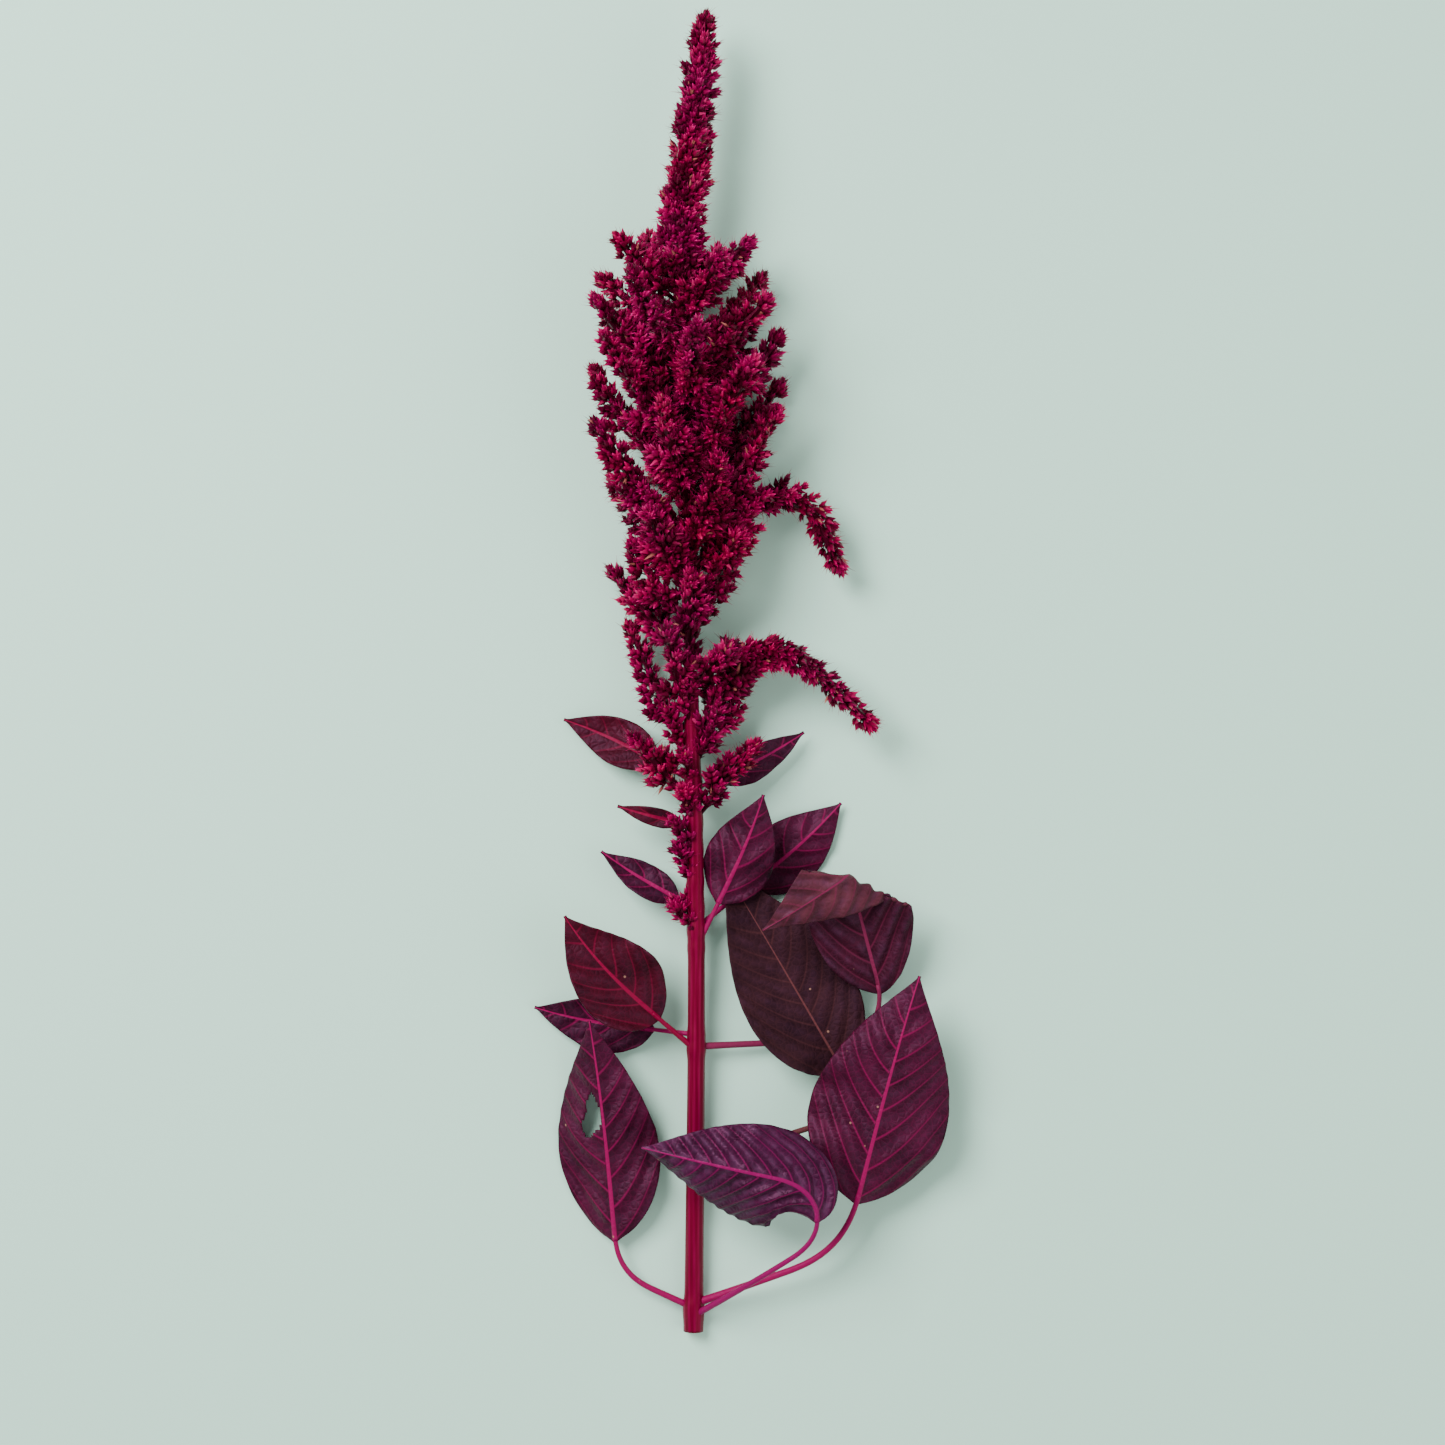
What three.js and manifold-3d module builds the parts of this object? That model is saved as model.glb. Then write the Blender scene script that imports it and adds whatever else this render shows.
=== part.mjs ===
// One cut stem of red amaranth with its seed head, lying on a level surface. Millimetres, +Z up.
// The cut end points along -Y and the tip along +Y. The stem lies on its cut end and on the lowest
// florets under the head, so it climbs gently from the cut end to the head.
import * as THREE from "three";
import { mergeVertices } from "three/addons/utils/BufferGeometryUtils.js";
import Module from "manifold-3d";

const wasm = await Module();
wasm.setup();

// Driving dimensions
const STEM_LENGTH = 333; // from the cut end to the foot of the main spike
const TIP = 663; // from the cut end to the tip of the main spike
const HEAD_FOOT = 343; // from the cut end to the lowest side spike of the dense head
const HEAD_TOP = 531; // from the cut end to its highest side spike
const HEAD_SPIKES = 34; // places for a side spike round the dense head
const ARCHING_PLACE = 6; // of them, whose spike arches out and hangs over
const GOLDEN_ANGLE = 137.508; // degrees round the stem from one side spike to the next
const SEAT_GAP = 0.3; // between a spike or leaf stalk and the stem it grows from
const FLORET_PITCH = 3.5; // between rows of florets on a side spike
const BARE_FOOT = 8; // of a side spike's foot carries no florets
const STALK_RADIUS = 1.3; // of a side spike's foot
const CORE_SHARE = 0.52; // of a spike's radius is its core, and the florets stand out of that
const FLORET_LEAN = 0.62; // of a row, by which a floret's point leans towards the spike's tip
const TUFT_SHARE = 0.36; // of a side spike's florets are drawn out into longer tufts
const TUFT_REACH = 12; // of such a tuft beyond the florets round it, where the spikes leave it room
const TUFT_LEAN = 0.8; // of that reach, by which its point leans on towards the spike's tip
const TUFT_CLEARANCE = 0.6; // kept between a tuft and the florets of other spikes
const BLADE_THICKNESS = 0.75;
const MIDRIB_HEIGHT = 0.9; // of the rib, under the blade
const BLADE_CLEARANCE = 0.7; // kept between a leaf blade and the surface it lies on

const STEM_COLOUR = 0x8e1040;
const FLORET_COLOUR = 0x8a0f3c;
const LEAF_COLOUR = 0x44152c;

// The axis along Y: how far it leans to the right, and how high it runs. The stem's radius, and the
// radius of the main spike from its foot between the side spikes to its tip.
const AXIS_LEAN = [[0, 1.5], [45, 2], [155, 3], [235, 2.6], [345, 0], [420, -1], [475, -2.5],
  [537, -5], [570, -2.5], [620, 3.5], [663, 8]];
const AXIS_HEIGHT = [[0, 4.8], [165, 12.5], [285, 21.5], [375, 28.6], [445, 32], [537, 34],
  [585, 33.5], [625, 32], [663, 30]];
const STEM_RADIUS = [[0, 5.1], [30, 4.8], [235, 4.2], [333, 3.8]];
const MAIN_SPIKE_RADIUS = [[333, 5], [345, 5.8], [515, 5.8], [533, 8], [547, 10.4], [565, 10.4],
  [595, 9.4], [635, 7.6], [657, 5], [663, 1.8]];

// Across the dense head: a spike's length, how far it opens from the stem, and its thickest radius.
const SPIKE_LENGTH = [[343, 44], [365, 54], [387, 66], [415, 75], [445, 72], [485, 62], [515, 50],
  [531, 41]];
const SPIKE_OPENING = [[343, 36], [361, 40], [395, 46], [445, 50], [485, 56], [515, 60], [531, 56]];
const SPIKE_RADIUS = [[343, 6.2], [375, 6.8], [445, 7], [531, 6.2]];

// Side spikes that don't follow the head's spiral. Heading is measured from +Y towards +X, and pitch
// above the horizontal, in degrees. Droop is what pitch changes by along the spike. Turn is what
// heading changes by, between the shares of the length given as turns.
const ODD_SPIKES = [
  { name: "arching_spike", at: 379, heading: 38, turn: 118, turns: [0.3, 0.85], pitch: -8, droop: 6,
    length: 116, radius: 7.4 },
  { name: "low_arching_spike", at: 283, heading: 19, turn: 114, turns: [0.28, 0.72], pitch: 6, droop: -8,
    length: 146, radius: 7.4 },
  { name: "low_spike_1", at: 305, heading: -14, pitch: 30, droop: -14, length: 56, radius: 5.8 },
  { name: "low_spike_2", at: 339, heading: -41, pitch: -18, droop: 12, length: 64, radius: 5.4 },
  { name: "low_spike_3", at: 285, heading: -24, pitch: -7, droop: 2, length: 82, radius: 5.8 },
  { name: "low_spike_4", at: 267, heading: -42, pitch: 14, droop: -6, length: 48, radius: 5 },
  { name: "low_spike_5", at: 259, heading: 38, pitch: 10, droop: 0, length: 52, radius: 6 },
  { name: "low_spike_6", at: 323, heading: 42, pitch: 52, droop: -30, length: 42, radius: 5.4 },
];

// Short flower clusters in the leaf axils, part of the stem.
const AXIL_CLUSTERS = [
  { at: 279, heading: -20, pitch: 42 },
  { at: 261, heading: -22, pitch: 38 },
  { at: 245, heading: -36, pitch: 26 },
  { at: 229, heading: -28, pitch: 14 },
  { at: 203, heading: -36, pitch: 18 },
];
const AXIL_LENGTH = 22;
const AXIL_RADIUS = 4.8;

// Leaves, from the lowest up. Turn is what the stalk's heading changes by, between the shares of the
// stalk given as turns, and bend is what the blade's changes by. Roll turns the blade about its midrib,
// and twist is what roll changes by. Folds are how far the blade's left and right edges fold up. A
// crease is where a blade has fallen over: its share of the blade, how far it slants from square to the
// midrib, and the angle and radius of its bend.
const LEAVES = [
  { at: 8, heading: 55, turn: -133, turns: [0.7, 1.4], bend: 0, folds: [0.12, 0.75],
    pitch: 40, droop: -58, stalk: 94, blade: 102, width: 52, roll: 192, twist: -16 },
  { at: 14, heading: 69, turn: -55, turns: [0.45, 1.1], bend: 6,
    pitch: 14, droop: -14, stalk: 104, blade: 119, width: 72, roll: 186, twist: -12 },
  { at: 12, heading: -65, turn: 60, bend: -6, folds: [0.15, 0.6],
    pitch: 4, droop: 2, stalk: 56, blade: 113, width: 54, roll: 170, twist: 12 },
  { at: 84, heading: 71, turn: -101, turns: [0.6, 1.15], bend: -2, folds: [0.3, 0.12],
    pitch: 2, droop: 0, stalk: 95, blade: 121, width: 60, roll: 6, twist: -8 },
  { at: 143, heading: -48, turn: 0, bend: 22,
    pitch: 22, droop: -22, stalk: 26, blade: 72, width: 44, roll: 14, twist: -20 },
  { at: 151, heading: -84, turn: 0, bend: 16,
    pitch: -10, droop: 6, stalk: 22, blade: 62, width: 30, roll: -16, twist: 10 },
  { at: 195, heading: 26, turn: 0, bend: -14,
    pitch: 10, droop: 0, stalk: 26, blade: 60, width: 36, roll: 172, twist: 10 },
  { at: 145, heading: 88, turn: -103, turns: [0.6, 1.1], bend: 0, folds: [0.1, 0.16],
    pitch: -12, droop: 54, stalk: 108, blade: 124, width: 54, roll: 0, twist: 0,
    crease: { share: 0.52, slant: 36, angle: 166, radius: 4 } },
  { at: 205, heading: 52, turn: 0, bend: -16,
    pitch: -14, droop: 12, stalk: 34, blade: 64, width: 36, roll: 190, twist: -14 },
  { at: 215, heading: -62, turn: 0, bend: 12,
    pitch: -6, droop: 4, stalk: 10, blade: 46, width: 18, roll: 12, twist: 10 },
  { at: 257, heading: -78, turn: 0, bend: 8,
    pitch: 4, droop: -6, stalk: 6, blade: 34, width: 10, roll: -20, twist: 30 },
  { at: 275, heading: 66, turn: 0, bend: -14,
    pitch: -14, droop: 6, stalk: 12, blade: 52, width: 19, roll: 24, twist: -10 },
  { at: 279, heading: -62, turn: 0, bend: -14,
    pitch: -19, droop: 6, stalk: 22, blade: 54, width: 25, roll: 10, twist: -16 },
];

const TO_RADIANS = Math.PI / 180;
const UP = new THREE.Vector3(0, 0, 1);
const FORWARD = new THREE.Vector3(0, 1, 0);

// A smooth value between [place, value] keys: a cubic through each, with its neighbours' slope.
function along(keys, place) {
  const last = keys.length - 1;
  if (place <= keys[0][0]) return keys[0][1];
  if (place >= keys[last][0]) return keys[last][1];
  const i = keys.findIndex(([key], n) => place >= key && place < keys[n + 1][0]);
  const slope = (n) => {
    const [a, b] = [keys[Math.max(n - 1, 0)], keys[Math.min(n + 1, last)]];
    return (b[1] - a[1]) / (b[0] - a[0]);
  };
  const [from, to] = [keys[i], keys[i + 1]];
  const span = to[0] - from[0];
  const t = (place - from[0]) / span;
  const rise = (to[1] - from[1]) / span;
  const bend = (slope(i) - rise) * (1 - t) + (rise - slope(i + 1)) * t;
  return from[1] + (to[1] - from[1]) * t + t * (1 - t) * span * bend;
}

// An even scatter from -1 to 1 that repeats for the same index and stream.
function scatter(index, stream) {
  const draw = index * 0.7548776662 + stream * 0.569840291;
  return 2 * (draw - Math.floor(draw)) - 1;
}

function smoothStep(from, to, value) {
  const t = Math.min(Math.max((value - from) / (to - from), 0), 1);
  return t * t * (3 - 2 * t);
}

function axisPoint(y) {
  return new THREE.Vector3(along(AXIS_LEAN, y), y, along(AXIS_HEIGHT, y));
}

// The unit vector at a heading and a pitch, in degrees.
function direction(heading, pitch) {
  const level = Math.cos(pitch * TO_RADIANS);
  return new THREE.Vector3(
    level * Math.sin(heading * TO_RADIANS),
    level * Math.cos(heading * TO_RADIANS),
    Math.sin(pitch * TO_RADIANS),
  );
}

// Eases a height up to stay above the lowest it may be, as a shoot bends where it meets the surface.
function above(height, lowest) {
  const softness = 2.5;
  return lowest + softness * Math.log1p(Math.exp((height - lowest) / softness));
}

// The line of a shoot that starts in the middle of the stem and grows by heading and pitch.
function growthLine(spec, steps, lowest) {
  const { at, heading, pitch, turn = 0, turns = [0, 1], bend = 0, droop = 0, length } = spec;
  const points = [axisPoint(at)];
  const walk = points[0].clone();
  for (let i = 0; i < steps; i++) {
    const t = (i + 0.5) / steps;
    const bent = bend * smoothStep(turns[1], 1.4, t);
    const turned = heading + turn * smoothStep(turns[0], turns[1], t) + bent;
    walk.addScaledVector(direction(turned, pitch + droop * t), length / steps);
    points.push(new THREE.Vector3(walk.x, walk.y, above(walk.z, lowest)));
  }
  return new THREE.CatmullRomCurve3(points, false, "centripetal");
}

// Turns a closed geometry into a solid, and a solid back into a mesh's geometry.
function solidOf(geometry) {
  const bare = geometry.clone();
  bare.deleteAttribute("normal");
  bare.deleteAttribute("uv");
  const merged = mergeVertices(bare, 1e-4);
  return new wasm.Manifold(
    new wasm.Mesh({
      numProp: 3,
      vertProperties: merged.getAttribute("position").array,
      triVerts: new Uint32Array(merged.index.array),
    }),
  );
}

function geometryOf(solid) {
  const mesh = solid.getMesh();
  const geometry = new THREE.BufferGeometry();
  geometry.setAttribute("position", new THREE.BufferAttribute(mesh.vertProperties, 3));
  geometry.setIndex(new THREE.BufferAttribute(mesh.triVerts, 1));
  geometry.computeVertexNormals();
  return geometry;
}

// A closed tube along a line. Its radius and its slide along the line are set corner by corner. Each
// cell is split from one odd corner to the other, so that even corners stand out as points.
function sweptTube(line, columns, rows, radiusAt, slideAt = () => 0) {
  const frames = line.computeFrenetFrames(rows);
  const centres = line.getSpacedPoints(rows);
  const vertices = [];
  for (let row = 0; row <= rows; row++) {
    for (let column = 0; column < columns; column++) {
      const turn = (column / columns) * 2 * Math.PI;
      const corner = centres[row].clone();
      corner.addScaledVector(frames.normals[row], radiusAt(row, column) * Math.cos(turn));
      corner.addScaledVector(frames.binormals[row], radiusAt(row, column) * Math.sin(turn));
      corner.addScaledVector(frames.tangents[row], slideAt(row, column));
      vertices.push(...corner.toArray());
    }
  }
  const foot = (rows + 1) * columns;
  vertices.push(...centres[0].toArray(), ...centres[rows].toArray());
  const faces = [];
  for (let column = 0; column < columns; column++) {
    const next = (column + 1) % columns;
    for (let row = 0; row < rows; row++) {
      const [a, b] = [row * columns + column, row * columns + next];
      const [c, d] = [b + columns, a + columns];
      if ((row + column) % 2 === 0) faces.push(a, b, d, b, c, d);
      else faces.push(a, b, c, a, c, d);
    }
    faces.push(foot, next, column, foot + 1, rows * columns + column, rows * columns + next);
  }
  const geometry = new THREE.BufferGeometry();
  geometry.setAttribute("position", new THREE.Float32BufferAttribute(vertices, 3));
  geometry.setIndex(faces);
  return solidOf(geometry);
}

// A spike: a core whose surface is drawn out into staggered rows of pointed florets that lean to the
// tip, some of them into longer tufts. Its first rows are bare where it has a stalk.
function floretSpike(line, spec) {
  const { columns, pitch, stalk, bare = 0, tuftReach, envelope, stream, extra = 0 } = spec;
  const length = line.getLength();
  const bareRows = bare > 0 ? 2 : 0;
  const rows = Math.max(Math.round((length - bare) / pitch) + bareRows, 4);
  const lean = (FLORET_LEAN * length) / rows;
  const frames = line.computeFrenetFrames(rows);
  const isFloret = (row, column) => row > bareRows && row < rows && (row + column) % 2 === 0;
  const fullAt = (row) => Math.max(envelope(row / rows), stalk);
  const swellAt = (row, column) => 1 + 0.16 * scatter(row * columns + column, stream);
  const tufts = new Map();
  for (let row = 0; row < rows; row++) {
    for (let column = 0; column < columns; column++) {
      const place = row * columns + column;
      const drawnOut = scatter(place, stream + 7) > 1 - 2 * TUFT_SHARE;
      if (!tuftReach || !drawnOut || !isFloret(row, column)) continue;
      const turn = (column / columns) * 2 * Math.PI;
      const out = frames.normals[row].clone().multiplyScalar(Math.cos(turn));
      out.addScaledVector(frames.binormals[row], Math.sin(turn));
      const from = line.getPointAt(row / rows).addScaledVector(out, fullAt(row));
      from.addScaledVector(frames.tangents[row], lean);
      out.addScaledVector(frames.tangents[row], TUFT_LEAN);
      tufts.set(place, tuftReach(row / rows, from, out));
    }
  }
  const tuftOf = (row, column) => tufts.get(row * columns + column) ?? 0;
  const radiusAt = (row, column) => {
    if (row < bareRows) return stalk + extra;
    if (row === rows) return 0.6 + extra;
    const full = fullAt(row);
    if (!isFloret(row, column)) return extra + Math.max(full * CORE_SHARE, stalk * 0.8);
    return extra + full * swellAt(row, column) + tuftOf(row, column);
  };
  const slideAt = (row, column) => {
    return isFloret(row, column) ? lean + TUFT_LEAN * tuftOf(row, column) : 0;
  };
  return sweptTube(line, columns, rows, radiusAt, slideAt);
}

// A side spike's radius over its florets, along it.
function sideEnvelope(spec, t) {
  const foot = smoothStep(BARE_FOOT, BARE_FOOT + 9, t * spec.length);
  return spec.radius * (0.3 + 0.7 * foot) * (1 - 0.5 * t ** 1.7);
}

// The balls that the spikes and their tufts fill. A tuft may not come near those of another spike.
const filled = [];
function fillAlong(line, owner, radiusAt) {
  const steps = Math.ceil(line.getLength() / 2.5);
  for (let i = 0; i <= steps; i++) {
    filled.push({ owner, centre: line.getPointAt(i / steps), radius: radiusAt(i / steps) });
  }
}

// How far a tuft reaches from a place, up to the most it wants, before it nears what others fill.
function roomFor(owner, from, out, most) {
  const isClear = (point, radius) => {
    const others = filled.filter((ball) => ball.owner !== owner);
    return point.z > -1.2 && others.every((ball) => ball.centre.distanceTo(point) > ball.radius + radius);
  };
  for (let reach = most; reach >= 1; reach -= 0.5) {
    const shares = [0.25, 0.5, 0.75, 1];
    const points = shares.map((share) => from.clone().addScaledVector(out, reach * share));
    const radii = shares.map((share) => TUFT_CLEARANCE + 1.8 * (1 - share));
    if (!points.every((point, i) => isClear(point, radii[i]))) continue;
    points.forEach((centre, i) => filled.push({ owner, centre, radius: radii[i] }));
    return reach;
  }
  return 0;
}

function sideLine(spec) {
  return growthLine(spec, 12, spec.radius * 0.8);
}

function sideSpike(spec, stream) {
  const line = sideLine(spec);
  const tuftReach = (t, from, out) => {
    const grown = smoothStep(BARE_FOOT + 2, BARE_FOOT + 14, t * spec.length);
    return roomFor(spec.name, from, out, TUFT_REACH * grown * (1 - t ** 1.2));
  };
  const shape = { columns: 6, pitch: FLORET_PITCH, stalk: STALK_RADIUS, bare: BARE_FOOT };
  return floretSpike(line, { ...shape, tuftReach, envelope: (t) => sideEnvelope(spec, t), stream });
}

// The dense head's side spikes wind round the axis by the golden angle, from its foot to its top.
function headSpikes() {
  const specs = [];
  for (let i = 0; i < HEAD_SPIKES; i++) {
    if (i === ARCHING_PLACE) continue;
    const at = HEAD_FOOT + ((i + 0.5) / HEAD_SPIKES) * (HEAD_TOP - HEAD_FOOT);
    const round = (i * GOLDEN_ANGLE + 5 * scatter(i, 1)) * TO_RADIANS;
    const opening = (along(SPIKE_OPENING, at) + 4 * scatter(i, 2)) * TO_RADIANS;
    const outward = new THREE.Vector3(Math.sin(round), 0, Math.cos(round));
    const start = outward.multiplyScalar(Math.sin(opening)).addScaledVector(FORWARD, Math.cos(opening));
    const heading = Math.atan2(start.x, start.y) / TO_RADIANS;
    const pitch = Math.asin(start.z) / TO_RADIANS;
    const curl = -0.22 + 0.14 * scatter(i, 3);
    specs.push({
      name: `side_spike_${String(i + 1).padStart(2, "0")}`,
      at,
      heading,
      pitch,
      turn: heading * curl,
      droop: pitch * curl,
      length: along(SPIKE_LENGTH, at) * (1 + 0.09 * scatter(i, 4)),
      radius: along(SPIKE_RADIUS, at),
    });
  }
  return specs;
}

function axisLine(from, to, spans) {
  const points = [];
  for (let i = 0; i <= spans; i++) points.push(axisPoint(from + (i / spans) * (to - from)));
  return new THREE.CatmullRomCurve3(points);
}

function stemSolid(extra = 0) {
  const rows = 16;
  const radiusAt = (row) => along(STEM_RADIUS, (row / rows) * STEM_LENGTH) + extra;
  return sweptTube(axisLine(0, STEM_LENGTH + extra, 16), 10, rows, radiusAt);
}

// The main spike: the florets along the axis between the side spikes, and the thick end spike.
function mainSpike(extra = 0) {
  const from = STEM_LENGTH + SEAT_GAP;
  const envelope = (y) => along(MAIN_SPIKE_RADIUS, y);
  const inner = { columns: 8, pitch: 5, stalk: 2.6, stream: 40, extra };
  const end = { columns: 16, pitch: 3.9, stalk: 2.4, stream: 41, extra };
  inner.envelope = (t) => envelope(from + t * (HEAD_TOP - from));
  end.envelope = (t) => envelope(HEAD_TOP - 6 + t * (TIP - HEAD_TOP + 6));
  end.tuftReach = (t) => 3 * (1 - t);
  const innerSolid = floretSpike(axisLine(from, HEAD_TOP, 16), inner);
  return innerSolid.add(floretSpike(axisLine(HEAD_TOP - 6, TIP, 12), end));
}

function axilCluster({ at, heading, pitch }, stream) {
  const line = growthLine({ at, heading, pitch, length: AXIL_LENGTH }, 4, AXIL_RADIUS);
  const envelope = (t) => AXIL_RADIUS * (0.5 + 0.9 * t - 0.9 * t * t);
  return floretSpike(line, { columns: 6, pitch: 3.4, stalk: 1.4, envelope, stream });
}

// A leaf blade's half width along it: broad below the middle, drawn out to the stalk and to a point.
function bladeHalfWidth(t, width) {
  const foot = 0.7;
  const point = 1.15;
  const widest = foot / (foot + point);
  const peak = widest ** foot * (1 - widest) ** point;
  return Math.max((width / 2) * ((t ** foot * (1 - t) ** point) / peak), 0.8);
}

// Where a place on a blade comes to, once what lies beyond the crease has fallen over the rest.
function creased(place, { centre, over, normal, radius, angle }) {
  const offset = place.clone().sub(centre);
  const beyond = offset.dot(over);
  if (beyond <= 0) return place;
  const turned = Math.min(beyond / radius, angle);
  const flat = beyond - turned * radius;
  const lift = offset.dot(normal);
  const reach = (radius - lift) * Math.sin(turned) + flat * Math.cos(turned);
  const rise = radius - (radius - lift) * Math.cos(turned) + flat * Math.sin(turned);
  return place.clone().addScaledVector(over, reach - beyond).addScaledVector(normal, rise - lift);
}

// The level direction square to a line, turned about the line.
function acrossLine(forward, roll) {
  const across = new THREE.Vector3().crossVectors(forward, UP).normalize();
  return across.applyAxisAngle(forward, roll * TO_RADIANS);
}

function creaseOf(line, from, { roll, twist, crease: { share, slant, angle, radius } }) {
  const place = from + (1 - from) * share;
  const forward = line.getTangentAt(place);
  const across = acrossLine(forward, roll + twist * share);
  const over = forward.clone().multiplyScalar(Math.cos(slant * TO_RADIANS));
  over.addScaledVector(across, Math.sin(slant * TO_RADIANS));
  const normal = across.cross(forward);
  return { centre: line.getPointAt(place), over, normal, radius, angle: angle * TO_RADIANS };
}

// A thin closed blade over the last stretch of a leaf's line. It is folded up along the rib, waved at
// its edges, and thicker under the rib. Both faces are split into the same triangles.
function bladeSolid(line, from, spec, index) {
  const crease = spec.crease && creaseOf(line, from, spec);
  const rows = crease ? 20 : Math.max(Math.round(spec.blade / 10), 6);
  const columns = crease ? 6 : 4;
  const folds = spec.folds ?? [0.2, 0.2];
  const grid = [];
  for (let i = 0; i <= rows; i++) {
    const t = i / rows;
    const centre = line.getPointAt(from + (1 - from) * t);
    const forward = line.getTangentAt(from + (1 - from) * t);
    const across = acrossLine(forward, spec.roll + spec.twist * t);
    const normal = new THREE.Vector3().crossVectors(across, forward);
    const half = bladeHalfWidth(t, spec.width);
    for (let j = 0; j <= columns; j++) {
      const side = (2 * j) / columns - 1;
      const wave = Math.sin(t * 13 + side * 1.4 + index * 1.9) * 0.09 * half * Math.abs(side);
      const fold = folds[side < 0 ? 0 : 1] * half * side * side;
      let place = centre.clone().addScaledVector(across, side * half * 0.97);
      place.addScaledVector(normal, fold + wave);
      if (crease) place = creased(place, crease);
      place.z = above(place.z, BLADE_CLEARANCE + BLADE_THICKNESS);
      grid.push({ place, rib: j === columns / 2 ? MIDRIB_HEIGHT * (1 - 0.8 * t) : 0 });
    }
  }
  const count = grid.length;
  const wide = columns + 1;
  const at = (i, j) => grid[i * wide + j].place;
  const vertices = new Float32Array(count * 6);
  for (let i = 0; i <= rows; i++) {
    for (let j = 0; j <= columns; j++) {
      const k = i * wide + j;
      const lengthwise = at(Math.min(i + 1, rows), j).clone().sub(at(Math.max(i - 1, 0), j));
      const crosswise = at(i, Math.min(j + 1, columns)).clone().sub(at(i, Math.max(j - 1, 0)));
      const normal = crosswise.cross(lengthwise).normalize();
      const upper = grid[k].place.clone().addScaledVector(normal, BLADE_THICKNESS / 2);
      const lower = grid[k].place.clone().addScaledVector(normal, -BLADE_THICKNESS / 2 - grid[k].rib);
      vertices.set(upper.toArray(), k * 3);
      vertices.set(lower.toArray(), (count + k) * 3);
    }
  }
  const faces = [];
  const quad = (a, b, c, d) => faces.push(a, b, c, a, c, d);
  for (let i = 0; i < rows; i++) {
    for (let j = 0; j < columns; j++) {
      const [a, b, c, d] = [i * wide + j, i * wide + j + 1, (i + 1) * wide + j + 1, (i + 1) * wide + j];
      quad(a, b, c, d);
      faces.push(count + a, count + c, count + b, count + a, count + d, count + c);
    }
    const [left, nextLeft] = [i * wide, (i + 1) * wide];
    const [right, nextRight] = [left + columns, nextLeft + columns];
    quad(left, nextLeft, count + nextLeft, count + left);
    quad(right, count + right, count + nextRight, nextRight);
  }
  for (let j = 0; j < columns; j++) {
    const top = rows * wide + j;
    quad(j, count + j, count + j + 1, j + 1);
    quad(top, top + 1, count + top + 1, count + top);
  }
  const geometry = new THREE.BufferGeometry();
  geometry.setAttribute("position", new THREE.BufferAttribute(vertices, 3));
  geometry.setIndex(faces);
  return solidOf(geometry);
}

function leafSolid(spec, index) {
  const length = spec.stalk + spec.blade;
  const from = spec.stalk / length;
  const turns = spec.turns ?? [0.35, 1.1];
  const lowest = BLADE_CLEARANCE + BLADE_THICKNESS + MIDRIB_HEIGHT;
  const line = growthLine({ ...spec, length, turns: [from * turns[0], from * turns[1]] }, 24, lowest);
  const stalkPoints = [];
  const spans = spec.turn ? 9 : 5;
  for (let i = 0; i <= spans; i++) stalkPoints.push(line.getPointAt((i / spans) * (from + 5 / length)));
  const stalkRadius = 0.9 + spec.width / 60;
  const radiusAt = (row) => stalkRadius * (1 - 0.35 * (row / spans));
  const stalk = sweptTube(new THREE.CatmullRomCurve3(stalkPoints), 5, spans, radiusAt);
  return stalk.add(bladeSolid(line, from, spec, index));
}

// Assembly
const stemLook = { color: STEM_COLOUR, roughness: 0.5, metalness: 0 };
const floretLook = { color: FLORET_COLOUR, roughness: 0.6, metalness: 0 };
const leafLook = { color: LEAF_COLOUR, roughness: 0.55, metalness: 0 };
const seedHead = new THREE.Group();

// What would reach below the surface is pressed flat against it.
const below = solidOf(new THREE.BoxGeometry(600, 1600, 40).translate(0, 300, -20));
function addPiece(name, solid, look) {
  const material = new THREE.MeshStandardMaterial(look);
  const mesh = new THREE.Mesh(geometryOf(solid.subtract(below)), material);
  mesh.name = name;
  seedHead.add(mesh);
}

const seat = stemSolid(SEAT_GAP).add(mainSpike(SEAT_GAP));
let stem = stemSolid();
AXIL_CLUSTERS.forEach((cluster, i) => {
  stem = stem.add(axilCluster(cluster, 60 + i));
});
addPiece("stem", stem, stemLook);
addPiece("main_spike", mainSpike(), floretLook);
const sideSpikes = [...headSpikes(), ...ODD_SPIKES];
sideSpikes.forEach((spec) => fillAlong(sideLine(spec), spec.name, (t) => sideEnvelope(spec, t) * 1.16));
const axisRadii = (y) => along(y < HEAD_FOOT ? STEM_RADIUS : MAIN_SPIKE_RADIUS, y);
fillAlong(axisLine(0, TIP, 24), "axis", (t) => 1 + axisRadii(t * TIP));
sideSpikes.forEach((spec, i) => {
  addPiece(spec.name, sideSpike(spec, i + 5).subtract(seat), floretLook);
});
LEAVES.forEach((spec, i) => {
  const name = `leaf_${String(i + 1).padStart(2, "0")}`;
  addPiece(name, leafSolid(spec, i).subtract(seat), leafLook);
});

// The origin is the middle of the outline, on the surface.
const bounds = new THREE.Box3().setFromObject(seedHead);
const middle = bounds.getCenter(new THREE.Vector3());
seedHead.position.set(-middle.x, -middle.y, -bounds.min.z);

export default seedHead;
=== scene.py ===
"""A cut stem of red amaranth with its seed head, lying on a level surface.

The layout is in millimetres: X to the right of the stem, Y along it from its cut end to the head's tip, and
Z up from the surface. A piece follows the growth of the node that it replaces, with finer florets and veins.
"""

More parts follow.
